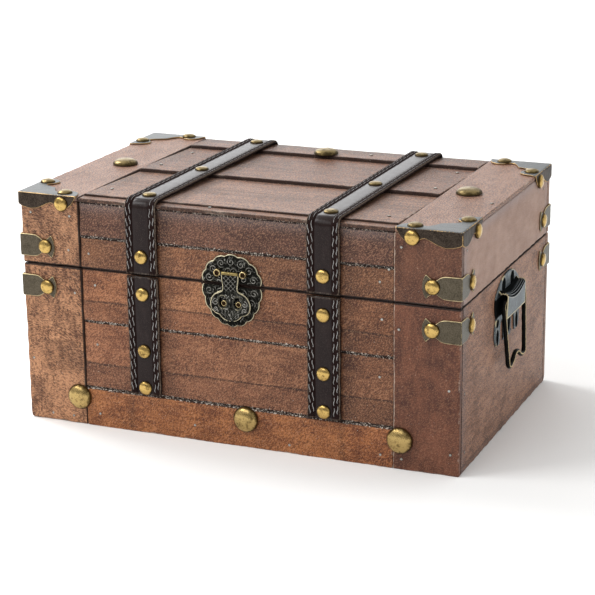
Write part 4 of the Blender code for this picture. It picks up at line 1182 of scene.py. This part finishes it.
def make_bracket(name, side_x, side_y, seed):
    """Both arms of one bracket, folded and mirrored into their corner."""
    arms = [bracket_arm(0, 1), bracket_arm(1, 0)]
    outline = np.concatenate([edge for grid, edge in arms])
    rows, columns = arms[0][0].shape[:2]
    local = np.concatenate([grid.reshape(-1, 3) for grid, edge in arms])
    cut = nearest(local, outline)
    points = fold(corner_out - local, rolled_edge(cut), seed)
    crease = np.sort(local, axis=1)[:, 1]
    wander = ripple(points, rub_waves, seed + 1)
    rub = np.clip(1.1 * np.exp(-(cut / (0.55 * mm)) ** 2) + (0.62 + 0.2 * wander)
                  * np.exp(-(crease / (0.8 * mm)) ** 2), 0, 1)
    faces = sheet_faces(rows, columns)
    # Painted reflection: the top of the bracket gets the haze mark, which paints it the blue-grey of the
    # bright sky it mirrors.
    top = np.clip(0.56 - local[:, 2] / mm, 0, 0.56)
    both = [faces, faces[:, ::-1] + rows * columns]
    item = put_mesh(name, points * np.array([side_x, side_y, 1]), both, corner_bronze, "lid",
                    {"rub": rub, "haze": top}, ("lid_" + name,))
    outward(item, sheet_thickness)


corners = [("front_left", -1, -1), ("front_right", 1, -1), ("back_left", -1, 1), ("back_right", 1, 1)]
for index, (corner, side_x, side_y) in enumerate(corners):
    make_bracket("corner_bracket_" + corner, side_x, side_y, 300 + index)
print(len(corners), "corner brackets")

# %% [markdown]
# Above and below the seam a clip is bent round each corner. Its ends narrow behind the nail and
# open again into a fish tail. It is one grid: along the sheet from the side tip round the corner to
# the front tip, and up and down between two mirrored curves.
# %% Corner clips and their nails
clip_edge = np.array([
    (0.0, 1.0), (0.20, 1.0), (0.43, 0.98), (0.55, 0.83), (0.66, 0.58), (0.77, 0.66), (0.86, 0.90),
    (0.90, 1.0), (0.94, 0.80), (0.985, 0.40), (1.0, 0.0),
])
clip_reach = 29.8 * mm
clip_half = 8.6 * mm
corner_nail_radius = 5.8 * mm
face_x, face_y, face_z = corner_out / mm - 0.05
front_nail_in = 37.2
side_nail_in = 34.2
bracket_nail_in = 7.0
clip_nail_in = 22.0


def make_clip(name, side_x, side_y, height, body, seed):
    """s runs from the side tip (-1) to the front tip (1); z = height + v * half height(|s|)."""
    curve = smooth_through(clip_edge, 6)
    s = np.concatenate([-np.linspace(1, 0, 46, endpoint=False), np.linspace(0, 1, 47)])
    v = np.sin(np.linspace(-1, 1, 23) * math.pi / 2)
    half = np.interp(np.abs(s), curve[:, 0], curve[:, 1]) * clip_half
    grid = np.zeros((len(s), len(v), 3))
    grid[..., 0] = np.maximum(s, 0)[:, None] * clip_reach
    grid[..., 1] = np.maximum(-s, 0)[:, None] * clip_reach
    grid[..., 2] = -half[:, None] * v[None, :]
    local = grid.reshape(-1, 3)
    cut = nearest(local, np.concatenate([grid[:, 0], grid[:, -1]]))
    flat = corner_out - local - np.array([0, 0, corner_out[2] - height])
    points = fold(flat, rolled_edge(cut), seed)
    crease = np.sort(local[:, :2], axis=1)[:, 1]
    wander = ripple(points, rub_waves, seed + 1)
    rub = np.clip(1.1 * np.exp(-(cut / (0.5 * mm)) ** 2) * (1 + 0.3 * wander)
                  + 0.5 * np.exp(-(crease / (0.7 * mm)) ** 2), 0, 1)
    # Painted light: the side arm of the clip gets the haze mark, which paints it paler, like the side
    # that is lit more brightly.
    item = put_mesh(name, points * np.array([side_x, side_y, 1]), sheet_faces(len(s), len(v)),
                    clip_bronze, body, {"rub": rub, "haze": 0.52 * (local[:, 1] > 0)},
                    (body + "_" + name.split("_", 1)[1],))
    outward(item, sheet_thickness)


corner_nails = 0
for index, (corner, side_x, side_y) in enumerate(corners):
    out_x, out_y, out_z = corner_out / mm
    spots = [
        ((out_x - front_nail_in, face_y, out_z - bracket_nail_in), (0, 1, 0), "lid"),
        ((face_x, out_y - side_nail_in, out_z - bracket_nail_in), (1, 0, 0), "lid"),
        ((out_x - front_nail_in, out_y - bracket_nail_in, face_z), (0, 0, 1), "lid"),
        ((out_x - bracket_nail_in, out_y - side_nail_in, face_z), (0, 0, 1), "lid"),
    ]
    for body, level in (("lid", "upper"), ("base", "lower")):
        low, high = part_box(body + "_corner_clip_" + corner)
        height = (low.z + high.z) / 2
        make_clip(level + "_corner_clip_" + corner, side_x, side_y, height, body, 340 + index)
        spots.append(((out_x - clip_nail_in, face_y, height / mm), (0, 1, 0), body))
        spots.append(((face_x, out_y - clip_nail_in, height / mm), (1, 0, 0), body))
    for spot, normal, body in spots:
        corner_nails += 1
        mirror = np.array([side_x, side_y, 1])
        dome("corner_nail_%02d" % corner_nails, np.array(spot) * mm * mirror, np.array(normal) * mirror,
             corner_nail_radius, nail_height, body, worn_brass if normal[2] else nail_brass,
             100 + corner_nails)
print(corner_nails, "nails in the corner metal")

# %% [markdown]
# The latch is cast with scrollwork. Relief like that could be painted as bump, but it is seen close
# up and catches the light on its rims, so it is real height: each plate is a fine grid whose points
# rise near a set of curves. One helper draws a scroll, one raises a ridge along it, one fills the
# ground between with veins, and one punches an opening by sliding nearby points onto its edge.
# %% Relief, scrolls and openings
dark_bronze = antique("latch_bronze", tint(20, 20, 19), tint(66, 66, 60), tint(204, 194, 164),
                      rough=0.28, metal=0.8, grain_size=1900, sheen_colour=tint(196, 192, 184))
latch_brass = brass("latch_brass", tint(224, 200, 146), tint(46, 32, 20), tint(26, 21, 14))
bar_brass = brass("bar_brass", tint(132, 116, 74), tint(74, 62, 40), tint(28, 23, 15), rough=0.32)
vein_waves = [7.1, 6.0, 5.2, 4.6, 4.0, 3.6, 3.3, 3.0]


def scroll(x, z, size, turns, start, hand):
    """A spiral line: radius = size * (1 - 0.85 * t), angle = start + hand * turns * t."""
    t = np.linspace(0, 1, 60)
    radius = size * (1 - 0.85 * t)
    angle = math.radians(start) + hand * turns * 2 * math.pi * t
    return np.stack([x + radius * np.cos(angle), z + radius * np.sin(angle)], axis=-1)


def ridge(distance, width, height):
    """A rounded line of relief: height * exp(-(distance / width) squared)."""
    return height * np.exp(-(distance / width) ** 2)


def chased(flat, lines, seed, strength):
    """Chased work between 0 and 1: the crests of the drawn lines, and between them the veins where a
    random ripple passes through nought, which wind like engraved leaves."""
    places = np.stack([flat[:, 0], 0 * flat[:, 0], flat[:, 1]], axis=-1)
    swell = ripple(places, vein_waves, seed)
    veins = np.clip(1 - np.abs(swell) * 2.6, 0, 1)
    return np.clip(np.maximum(ridge(lines, 0.36, 1.0), veins * strength * (lines > 0.6)), 0, 1)


def punch(flat, faces, openings):
    """Cut ellipses: points inside slide out to the edge, and faces wholly inside are left out.
    An opening is (across, up, half width, half height)."""
    flat = flat.copy()
    keep = np.ones(len(faces), bool)
    for across, up_by, half_width, half_height in openings:
        offset = (flat - [across, up_by]) / [half_width, half_height]
        reach = np.linalg.norm(offset, axis=1)
        inside = reach < 1
        keep &= ~inside[faces].all(axis=1)
        slid = offset / np.maximum(reach, 0.05)[:, None] * [half_width, half_height] + [across, up_by]
        flat[inside] = slid[inside]
    return flat, faces[keep]


print("relief helpers ready")

# %% [markdown]
# Both latch plates are half ellipses with a scalloped edge: seven lobes on the lid and nine on the
# base. The grid is polar, so its outer rows follow the scallops exactly. Every lobe carries a large
# scroll and a small one further in, veins fill the ground, and a bead runs along the rim.
# %% Latch plates
latch_seat = -112.2
plate_sheet = 0.9
cast_thickness = 0.8 * mm
scallop = 1.3
outer_scrolls = 0.74
inner_scrolls = 0.42
lid_plate_height = 22.0
base_plate_height = -31.2
lid_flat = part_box("latch_lid_plate")[0].z / mm
base_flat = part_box("latch_base_plate")[1].z / mm
latch_pin = np.array([0, -115.8, 134.6])
rivet_seat = -113.2
rivet_x = 10.3
post_x = 5.8
post_z = 111.3
eyes = [(-6.0, 112.9, 3.0, 4.1), (6.0, 112.9, 3.0, 4.1)]


def make_latch_plate(name, flat_z, height, lobes, body, node):
    """x = q * (R - dent) * cos(a); z = flat +- q * (H - dent) * sin(a), in millimetres, where
    dent = scallop * (1 - |sin(n a)| to the power 0.8); y = seat - sheet - relief, where relief is the
    rim bead + chased work, less the rounding of the edges."""
    q = 1 - np.linspace(1, 0, 56) ** 1.25
    a = np.linspace(0, math.pi, 230)
    dent = scallop * (1 - np.abs(np.sin(lobes * a)) ** 0.8)
    x = q[:, None] * ((latch_radius - dent) * np.cos(a))[None, :]
    z = flat_z + q[:, None] * ((abs(height) - dent) * np.sin(a) * np.sign(height))[None, :]
    flat = np.stack([x.ravel(), z.ravel()], axis=-1)
    rim = np.stack([x[-1], z[-1]], axis=-1)
    straight = np.stack([np.linspace(-latch_radius, latch_radius, 120), np.full(120, flat_z)], axis=-1)
    cut = nearest(flat, rim)
    seam = nearest(flat, straight)
    curves = []

    def spot_at(share, angle):
        """The point at a share of the way from the middle of the flat edge out to the rim."""
        return share * latch_radius * math.cos(angle), flat_z + share * height * math.sin(angle)

    for angle in (np.arange(lobes) + 0.5) * math.pi / lobes:
        hand = 1 if math.cos(angle) > 0 else -1
        facing = math.degrees(math.atan2(height * math.sin(angle), latch_radius * math.cos(angle)))
        curves.append(scroll(*spot_at(outer_scrolls, angle), 3.3, 1.35, facing + 180 * (hand < 0), hand))
        curves.append(scroll(*spot_at(inner_scrolls, angle + 0.2), 2.8, 1.1, facing + 90, -hand))
    lines = nearest(flat, np.concatenate(curves))
    work = chased(flat, lines, 500 + lobes, 0.85) * (cut > 1.1) * (seam > 0.5)
    relief = (ridge(cut - 0.7, 0.45, 0.34) + 0.75 * work - ridge(cut, 0.35, 0.45)
              - ridge(seam, 0.35, 0.35))
    y = latch_seat - plate_sheet - relief
    # Painted highlight: the worn rim widens towards the left, the side that faces the light.
    worn_and_lit = 0.30 + 0.30 * np.clip(-flat[:, 0] / latch_radius, 0, 1)
    shine = np.maximum(ridge((cut - worn_and_lit) / worn_and_lit, 1.0, 0.9), ridge(seam, 0.3, 0.45))
    # hollow is dark patina and painted shade between the chased work; haze below is a painted silver
    # highlight on its crests.
    hollow = np.clip(1.0 - work * 2.0, 0, 1) * (cut > 0.9)
    # Painted shade: round each post the plate is blackened, so that the tongue's eyes read as dark holes.
    if body == "base":
        for ex, ez, ew, eh in eyes:
            hollow[np.linalg.norm((flat - [ex, ez]) / [ew + 1, eh + 1], axis=1) < 1] = 1.7
    points = np.stack([flat[:, 0], y, flat[:, 1]], axis=-1) * mm
    item = put_mesh(name, points, sheet_faces(len(q), len(a)), dark_bronze, body,
                    {"rub": shine, "joint": hollow * 0.62, "haze": np.clip(work * 1.4 - 0.55, 0, 0.9)},
                    (node,))
    outward(item, cast_thickness)


make_latch_plate("latch_upper_plate", lid_flat, lid_plate_height, 7, "lid", "latch_lid_plate")
make_latch_plate("latch_lower_plate", base_flat, base_plate_height, 9, "base", "latch_base_plate")


def eyelet(name, x, y, z, radius, height, body):
    """A hollow-headed rivet in millimetres: a rolled ring round a dark dimple, spun from a short
    profile."""
    away = np.array([1.0, 1.05, 1.02, 0.92, 0.80, 0.70, 0.64, 0.58, 0.25]) * radius
    rise = np.array([-0.15, 0.4, 0.80, 0.97, 1.0, 0.94, 0.78, 0.62, 0.58]) * height
    angle = np.linspace(0, 2 * math.pi, 24, endpoint=False)
    grid = np.stack([
        x + away[:, None] * np.cos(angle), y - rise[:, None] + 0 * angle,
        z + away[:, None] * np.sin(angle)], axis=-1)
    quads, caps = ring_faces(len(away), len(angle))
    dark = np.repeat(np.array([0.6, 0.2, 0, 0, 0, 0.3, 1, 1.6, 1.6]), len(angle))
    item = put_mesh(name, grid.reshape(-1, 3) * mm, [quads, caps], latch_brass, body,
                    {"joint": dark})
    outward(item)


for word, side in (("left", -1), ("right", 1)):
    eyelet("latch_rivet_" + word, side * rivet_x, rivet_seat, latch_pin[2], 2.7, 3.4, "lid")
    eyelet("latch_post_" + word, side * post_x, rivet_seat, post_z, 2.3, 1.7, "base")
print("latch plates, rivets and posts done")

# %% [markdown]
# The tongue hangs from a barrel on a pin between the two rivets. Its neck is cross-hatched, its
# rim raised and worn pale, two eyes let the posts through, scrolls fill the side lobes, and leaves
# fan out in the lowest one. Width is a curve of the height, so the grid is rows across that curve.
# %% The latch tongue
tongue_edge = np.array([
    (0.43, 0.0), (0.43, 0.05), (0.42, 0.14), (0.38, 0.26), (0.40, 0.35), (0.55, 0.39), (0.78, 0.44),
    (0.95, 0.55), (1.0, 0.66), (0.93, 0.78), (0.74, 0.85), (0.58, 0.87), (0.45, 0.93),
    (0.25, 0.985), (0.0, 1.0),
])
tongue_half = 16.25
tongue_length = 36.2
tongue_back = -115.4
tongue_sheet = 0.95
neck_foot = 120.5
leaf_top = 108.2
fan_middle = 95.5
hatch_pitch = 1.7
pin_half = 8.4
pin_radius = 0.8
barrel_half = 6.7
barrel_radius = 1.4


def make_tongue():
    """x = u * half width(v), z = pin - v * length; y = back - sheet - relief, where relief is the
    raised rims + cross-hatching on the neck + leaves in the lowest lobe + chased work elsewhere."""
    curve = smooth_through(tongue_edge, 8)
    order = np.maximum.accumulate(curve[:, 1])
    v = np.linspace(0.03, 1, 118)
    u = np.sin(np.linspace(-1, 1, 79) * math.pi / 2)
    width = np.interp(v, order, curve[:, 0]) * tongue_half
    x = width[:, None] * u[None, :]
    z = latch_pin[2] - v[:, None] * tongue_length + 0 * x
    flat = np.stack([x.ravel(), z.ravel()], axis=-1)
    faces = sheet_faces(len(v), len(u))
    flat, faces = punch(flat, faces, eyes)
    rim = np.stack([width, latch_pin[2] - v * tongue_length], axis=-1)
    rim = np.concatenate([rim, rim * [-1, 1]])
    cut = nearest(flat, rim)
    ring = np.minimum.reduce([
        np.linalg.norm((flat - [ex, ez]) / [ew, eh], axis=1) for ex, ez, ew, eh in eyes])
    neck = np.clip((flat[:, 1] - neck_foot) / 1.5, 0, 1) * (cut > 1.7)
    hatch = np.maximum(np.sin((flat[:, 0] + flat[:, 1]) * hatch_pitch),
                       np.sin((flat[:, 0] - flat[:, 1]) * hatch_pitch))
    low = np.clip((leaf_top - flat[:, 1]) / 1.2, 0, 1) * (cut > 1.8)
    fan = np.arctan2(flat[:, 0], flat[:, 1] - fan_middle)
    leaves = np.clip(np.sin(fan * 30 + np.sin(flat[:, 1] * 1.7) * 1.5), 0, 1)
    curls = np.concatenate([
        scroll(side * 11.6, height, size, 1.2, start, -side)
        for side in (-1, 1)
        for height, size, start in ((112.4, 2.6, 90), (107.6, 1.9, 200))]
        + [scroll(side * 3.0, 117.8, 1.9, 1.0, 60 + 60 * side, side) for side in (-1, 1)])
    lines = nearest(flat, curls)
    crossed = np.clip((hatch - 0.60) * 3.5, 0, 1)
    work = np.maximum.reduce([chased(flat, lines, 520, 0.8) * (1 - neck), 0.72 * neck * crossed,
                              0.8 * low * leaves])
    work = work * (cut > 1.4) * (ring > 1.3)
    relief = (ridge(cut - 0.8, 0.45, 0.42) + ridge((ring - 1.30) * 3.2, 0.5, 0.30) + 0.5 * work
              - ridge(cut, 0.35, 0.45))
    y = tongue_back - tongue_sheet - relief
    # Painted highlight: the worn rim is wider on the left half, which faces the light.
    worn_and_lit = 0.32 + 0.22 * (flat[:, 0] < 0)
    shine = ridge((cut - worn_and_lit) / worn_and_lit, 0.95, 0.95) + ridge((ring - 1.25) * 3.2, 0.35, 0.55)
    # hollow is dark patina and painted shade between the chased work; haze below is a painted silver
    # highlight on its crests.
    hollow = np.clip(1.0 - work * 2.0, 0, 1) * (cut > 1.2) * (ring > 1.45)
    points = np.stack([flat[:, 0], y, flat[:, 1]], axis=-1) * mm
    marks = {"rub": np.clip(shine, 0, 1), "joint": hollow * 0.62,
             "haze": np.clip(work * 1.4 - 0.5, 0, 0.85)}
    item = put_mesh("tongue_plate", points, faces, dark_bronze, "tongue", marks,
                    ("latch_tongue",))
    outward(item, cast_thickness)


make_tongue()


def bar_on_pin(name, half, radius, body, finish):
    """A round bar along X, centred on the latch pin: rings of cos and sin from one end to the other,
    with softened ends."""
    first, last = latch_pin - [half, 0, 0], latch_pin + [half, 0, 0]
    share = np.array([0, 0.02, 0.06, 0.5, 0.94, 0.98, 1.0])
    thick = np.array([0.7, 0.92, 1, 1, 1, 0.92, 0.7]) * radius
    axis = (last - first) / np.linalg.norm(last - first)
    side = np.cross(axis, [0.0, 0.31, 0.95])
    side /= np.linalg.norm(side)
    lift = np.cross(side, axis)
    angle = np.linspace(0, 2 * math.pi, 20, endpoint=False)[None, :, None]
    grid = (first + share[:, None, None] * (last - first)
            + thick[:, None, None] * (np.cos(angle) * side + np.sin(angle) * lift))
    quads, caps = ring_faces(len(share), angle.size)
    item = put_mesh(name, grid.reshape(-1, 3) * mm, [quads, caps], finish, body, {})
    outward(item)


bar_on_pin("latch_pin", pin_half, pin_radius, "lid", dark_bronze)
bar_on_pin("tongue_barrel", barrel_half, barrel_radius, "tongue", bar_brass)
print("latch tongue and pin done")

# %% [markdown]
# The drop handle is a pressed plate with a domed top and two feet, a ridged hood that rolls over the
# top of the bail, and the wire bail itself. The side of the box is seen almost edge-on, so its grey
# lip and the dark hollow under the hood do more for the likeness than fine detail. That hollow, the
# slots and the valleys of the hood are painted shade, and the ridges and rim carry painted highlights.
# %% The handle plate
gunmetal = antique("handle_gunmetal", tint(54, 60, 64), tint(112, 121, 126), tint(206, 194, 160),
                   rough=0.30, metal=0.85, grain_size=1500)
bail_black = antique("bail_black", tint(14, 14, 14), tint(34, 33, 31), tint(196, 174, 130),
                     rough=0.34, metal=0.7)
plate_edge = np.array([
    (0.86, 0.0), (0.97, 0.08), (1.0, 0.20), (0.96, 0.32), (0.90, 0.42), (0.96, 0.50), (1.0, 0.62),
    (0.97, 0.735), (0.84, 0.82), (0.62, 0.915), (0.34, 0.985), (0.0, 1.0),
])
plate_low = 72.6
plate_height = 51.0
plate_half = 31.5
plate_tip_half = 0.4
handle_y = -2.0
plate_out = 176.3
pressed_thickness = 0.7 * mm
plate_arches = [(s * 14.2, plate_low - 1, 4.6, 19.0) for s in (-1, 1)]
plate_slots = [
    (s * across, up_by, half_width, half_height) for s in (-1, 1)
    for across, up_by, half_width, half_height in (
        (10.8, 115.6, 3.6, 4.4), (24.6, 79.0, 2.4, 4.6), (4.4, 84.0, 2.2, 6.5), (25.0, 90.0, 2.6, 2.4))]


def make_handle_plate(name, side, body, node):
    """along = u * half width(v), z = low + v * height. Two arches between the feet are open; the
    eyes under the domed top and the slots in the feet are sunk and have a raised rim, and they are
    painted black as painted shade, as is the plate under the hood. The rim bead carries a painted
    highlight."""
    curve = smooth_through(plate_edge, 8)
    v = np.linspace(0, 1, 100)
    u = np.sin(np.linspace(-1, 1, 95) * math.pi / 2)
    width = np.interp(v, np.maximum.accumulate(curve[:, 1]), curve[:, 0]) * plate_half
    width[-1] = plate_tip_half
    along = width[:, None] * u[None, :]
    z = plate_low + v[:, None] * plate_height + 0 * along
    flat = np.stack([along.ravel(), z.ravel()], axis=-1)
    faces = sheet_faces(len(v), len(u))
    flat, faces = punch(flat, faces, plate_arches)
    slot_reach = np.minimum.reduce([
        np.linalg.norm((flat - [a, b]) / [c, d], axis=1) for a, b, c, d in plate_slots])
    sunk = np.clip((1.20 - slot_reach) * 3.5, 0, 1)
    # Painted shade: the slots are blackened, and so is the plate under the hood.
    slot_shade = np.clip((1.50 - slot_reach) * 3.5, 0, 1.5)
    shade = np.clip((110.5 - flat[:, 1]) / 2, 0, 1) * np.clip((flat[:, 1] - 93.5) / 2, 0, 1)
    rim = np.stack([width, plate_low + v * plate_height], axis=-1)
    cut = nearest(flat, np.concatenate([rim, rim * [-1, 1]]))
    ring = np.minimum.reduce([
        (np.linalg.norm((flat - [a, b]) / [c, d], axis=1) - 1) * min(c, d)
        for a, b, c, d in plate_arches])
    curls = [scroll(s * 21.5, 112.0, 3.4, 1.2, 90, -s) for s in (-1, 1)]
    curls.append(scroll(0, 119.0, 2.4, 1.0, 90, 1))
    lines = nearest(flat, np.concatenate(curls))
    relief = (ridge(cut - 1.1, 0.7, 0.30) + ridge(ring - 0.9, 0.6, 0.25) + ridge(lines, 0.5, 0.25)
              + ridge((slot_reach - 1.45) * 3, 0.5, 0.2) - ridge(cut, 0.4, 0.4) - 0.6 * sunk)
    out = plate_out - 0.35 + relief
    shine = np.clip(ridge(cut - 0.3, 0.5, 0.42) + ridge(ring - 0.2, 0.4, 0.35)
                    + ridge((slot_reach - 1.62) * 3, 0.4, 0.55), 0, 1) * (1 - shade)
    points = np.stack([side * out, handle_y + flat[:, 0], flat[:, 1]], axis=-1) * mm
    # The joint mark here is painted shade; haze is a painted silver highlight along the rim bead.
    marks = {"rub": shine, "joint": np.maximum(slot_shade, shade),
             "haze": ridge(cut - 1.1, 0.5, 0.5) * (1 - shade)}
    item = put_mesh(name, points, faces, gunmetal, body, marks, (node,))
    outward(item, pressed_thickness)


# %% The hood over the bail
hood_half = 22.6
bail_pivot = (180.7, 106.7)
hood_roll = 2.6
hood_thickness = 0.8 * mm
arc_share = 0.62
arc_start = 118
lip_drop = 13.0
ridge_pitch = 0.18


def make_hood(name, side, body):
    """A hooked line of (out, z) carried along the plate: a shoulder, an arc over the bail whose
    radius carries a few ridges, and a flat lip. It is a saddle: the arc rises towards both ends and
    dips in the middle, more so towards the lip."""
    out, up_to = bail_pivot
    t = np.linspace(0, 1, 46)
    angle = np.radians(np.interp(t, [0, arc_share], [arc_start, 0]))
    along = np.linspace(-1, 1, 61)
    bow = along[None, :] ** 2
    swept = t[:, None] + 0.04 * bow
    wave = np.cos((swept - 0.22) * 2 * math.pi / ridge_pitch)
    window = np.clip((0.58 - swept) / 0.04, 0, 1)
    radius = hood_roll + 0.38 * wave * window
    lip = np.clip((t - arc_share) / 0.38, 0, 1)
    lift = 3.9 * bow - 1.3 * (1 - bow) * np.clip(t / arc_share, 0, 1)[:, None] ** 3
    x = out + radius * np.cos(angle)[:, None] - 0.4 * lip[:, None]
    z = up_to + radius * np.sin(angle)[:, None] - lip_drop * lip[:, None] + lift * (1 - lip[:, None])
    back_x = np.array([plate_out - 0.3, plate_out + 0.5, plate_out + 1.6])
    back_z = up_to + np.array([5.4, 4.6, 3.4])
    x = np.concatenate([np.repeat(back_x[:, None], len(along), axis=1), x])
    z = np.concatenate([back_z[:, None] + 2.4 * bow, z])
    lip = np.concatenate([[0, 0, 0], lip])
    flare = 1 + 0.04 * lip[:, None]
    y = handle_y + hood_half * along[None, :] * flare + 0 * x
    grid = np.stack([side * x, y, z], axis=-1)
    ends = np.maximum(ridge(1 - np.abs(along), 0.05, 0.8)[None, :], ridge(1 - lip, 0.07, 1.0)[:, None])
    # Painted shade: the band next to the plate and the valleys between the ridges are marked dark.
    # Painted highlight: a silver line is marked along each ridge and along the lip's upper edge.
    dark = np.concatenate([np.full((3, len(along)), 0.8), np.clip(0.75 - 0.85 * wave, 0, 1) * window])
    painted_sheen = ridge(swept - 0.60, 0.025, 0.9) + 0.62 * np.clip(wave, 0, 1) ** 4 * window
    painted_sheen = np.concatenate([np.zeros((3, len(along))), painted_sheen])
    item = put_mesh(name, grid.reshape(-1, 3) * mm, sheet_faces(len(x), len(along)), gunmetal, body,
                    {"rub": ends.ravel(), "joint": dark.ravel(), "haze": painted_sheen.ravel()})
    outward(item, hood_thickness)


# %% The bail
wire_radius = 1.72
wire_sides = 14
lean_out = 3.0


def make_bail(name, side, body, node):
    """A closed wire in the plane of the bail: a top bar, two legs that draw in a little, rounded
    corners and a notch in the foot; every ring lies across the wire, and the lower run leans out."""
    top, low, drop, bend, notch = 26.5, 21.2, 51.5, 3.6, 6.5
    turn = np.linspace(0, math.pi / 2, 9)
    upper = np.stack([top - bend + bend * np.sin(turn), -bend + bend * np.cos(turn)], axis=-1)
    lower = np.stack([low - bend + bend * np.cos(turn), -drop + bend - bend * np.sin(turn)], axis=-1)
    share = np.array([0.86, 0.74, 0.62, 0.50, 0.38, 0.27, 0.14, 0.0])
    rise = np.array([0.0, 0.08, 0.20, 0.38, 0.62, 0.84, 0.97, 1.0])
    dip = np.stack([share * (low - bend), -drop + rise * notch], axis=-1)
    half = np.concatenate([[(0.0, 0.0)], upper, lower, dip])
    loop = np.concatenate([half, half[-2:0:-1] * [-1, 1]])
    loop = resample(np.concatenate([loop, loop[:1]]), 0.9)[:-1]
    for _ in range(2):
        loop = (np.roll(loop, 1, axis=0) + 2 * loop + np.roll(loop, -1, axis=0)) / 4
    along = np.roll(loop, -1, axis=0) - np.roll(loop, 1, axis=0)
    along /= np.linalg.norm(along, axis=1, keepdims=True)
    across = np.stack([along[:, 1], -along[:, 0]], axis=-1)
    angle = np.linspace(0, 2 * math.pi, wire_sides, endpoint=False)
    thick = wire_radius * (1 + 0.05 * np.sin(np.arange(len(loop)) * 0.7))[:, None]
    lean = -loop[:, 1] / drop * lean_out
    y = handle_y + loop[:, :1] + across[:, :1] * thick * np.cos(angle)
    z = bail_pivot[1] + loop[:, 1:] + across[:, 1:] * thick * np.cos(angle)
    x = side * (bail_pivot[0] + lean[:, None] + thick * np.sin(angle))
    grid = np.stack([x, y, z], axis=-1)
    count = len(loop)
    i, j = np.meshgrid(np.arange(count), np.arange(wire_sides), indexing="ij")
    this, following = i * wire_sides, (i + 1) % count * wire_sides
    beside = (j + 1) % wire_sides
    quads = np.stack([this + j, this + beside, following + beside, following + j], axis=-1)
    rub = np.tile(0.62 * (np.abs(np.sin(angle)) > 0.9), count)
    item = put_mesh(name, grid.reshape(-1, 3) * mm, quads.reshape(-1, 4), bail_black, body,
                    {"rub": rub}, (node,))
    outward(item)


for word, side in (("left", -1), ("right", 1)):
    make_handle_plate("handle_backplate_" + word, side, "base", "handle_plate_" + word)
    make_hood("handle_hood_" + word, side, "base")
    make_bail("bail_wire_" + word, side, "bail_" + word, "handle_bail_" + word)
print("handles done")

# %% [markdown]
# Dozens of small pins hold the boards down. Each is a low bright head of two to three millimetres, so
# one dome shape serves them all, placed one by one where the photograph shows them. The boards slope,
# so the height of a head is worked out from the board it sits in.
# %% Pin heads
pin_steel = antique("pin_steel", tint(120, 116, 108), tint(190, 188, 182), tint(236, 232, 220),
                    rough=0.32, metal=0.9)
front_pins = (
    (-166.3, 165.6), (-133.0, 165.2), (-118.4, 137.2), (-135.0, 138.7), (-114.3, 112.8),
    (-131.2, 105.4), (-114.4, 65.8), (-170.0, 49.2), (-169.9, 7.5), (-155.3, 5.8), (-137.1, 5.8),
    (-113.7, 10.3), (-33.0, 11.9), (114.5, 139.2), (130.8, 166.4), (121.2, 148.9), (116.0, 111.5),
    (129.4, 105.9), (114.4, 68.1), (167.1, 64.5), (168.6, 16.4), (115.5, 9.2), (131.7, 8.1),
    (44.0, 6.6),
)
top_pins = (
    (-113.5, -79.6), (-115.4, 6.8), (112.0, -85.5), (115.9, 4.9), (168.9, -23.7), (-113.5, 60.0),
    (113.0, 66.0), (-20.0, -104.5), (30.0, 96.0),
)
side_pins = (
    (-100.0, 165.0), (95.0, 165.0), (-100.0, 15.0), (98.0, 15.0), (98.0, 110.0), (-102.0, 60.0),
)
end_board_inner = 125.3
rail_top = 30.7
front_plane = -112.5
board_plane = -111.9
front_laps = ((31.0, 52.6), (83.6, 41.6), (125.8, 26.4), (150.0, 26.4))
end_board_top = 180.0
strip_top = 179.7
board_top = 181.0
top_laps = ((-102.8, 90.9, 2.6), (-11.9, 92.1, 2.6), (80.2, 32.3, 1.5))
side_plane = 174.95
pin_proud = 0.05


def front_face(x, z):
    """How far the front stands out: lapped boards, each given as its foot and height, lean back."""
    if abs(x) > end_board_inner or z < rail_top:
        return front_plane
    foot_z, length = [lap for lap in front_laps if lap[0] < z][-1]
    return board_plane + board_slope / mm * (z - foot_z) / length


def top_face(x, y):
    """How high the top stands: lapped boards, each given as its front, depth and fall."""
    if abs(x) > end_board_inner:
        return end_board_top
    laps = [lap for lap in top_laps if lap[0] <= y]
    if not laps:
        return strip_top
    front_y, length, drop = laps[-1]
    return board_top - drop * (y - front_y) / length


heads = [((x, front_face(x, z) + pin_proud, z), (0, -1, 0), 1.05, 0.35) for x, z in front_pins]
heads += [((x, y, top_face(x, y) - pin_proud), (0, 0, 1), 1.4, 0.8) for x, y in top_pins]
heads += [((side * side_plane, y, z), (side, 0, 0), 1.05, 0.35) for side in (-1, 1) for y, z in side_pins]
for number, (spot, normal, radius, height) in enumerate(heads, 1):
    body = "lid" if spot[2] * mm > seam_height else "base"
    dome("pin_%02d" % number, np.array(spot) * mm, normal, radius * mm, height * mm, body, pin_steel,
         number, sides=10)
print(len(heads), "pin heads")

# %% [markdown]
# The hinges were packed with their screws in place and keep that shape. They get the antique finish,
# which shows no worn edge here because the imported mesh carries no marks.
# %% The hinges
hinge_bronze = antique("hinge_bronze", tint(78, 66, 46), tint(138, 118, 82), tint(206, 186, 140),
                       rough=0.32)
for body in ("base", "lid"):
    for side in ("left", "right"):
        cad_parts[body + "_hinge_leaf_" + side].data.materials[0] = hinge_bronze
print("hinges finished")

# %% [markdown]
# Last, the box round the dressed trunk is printed in millimetres.
# %% The size of the dressed trunk
low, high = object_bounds()
print("scene box", [round(v / mm, 1) for v in high - low], "mm")
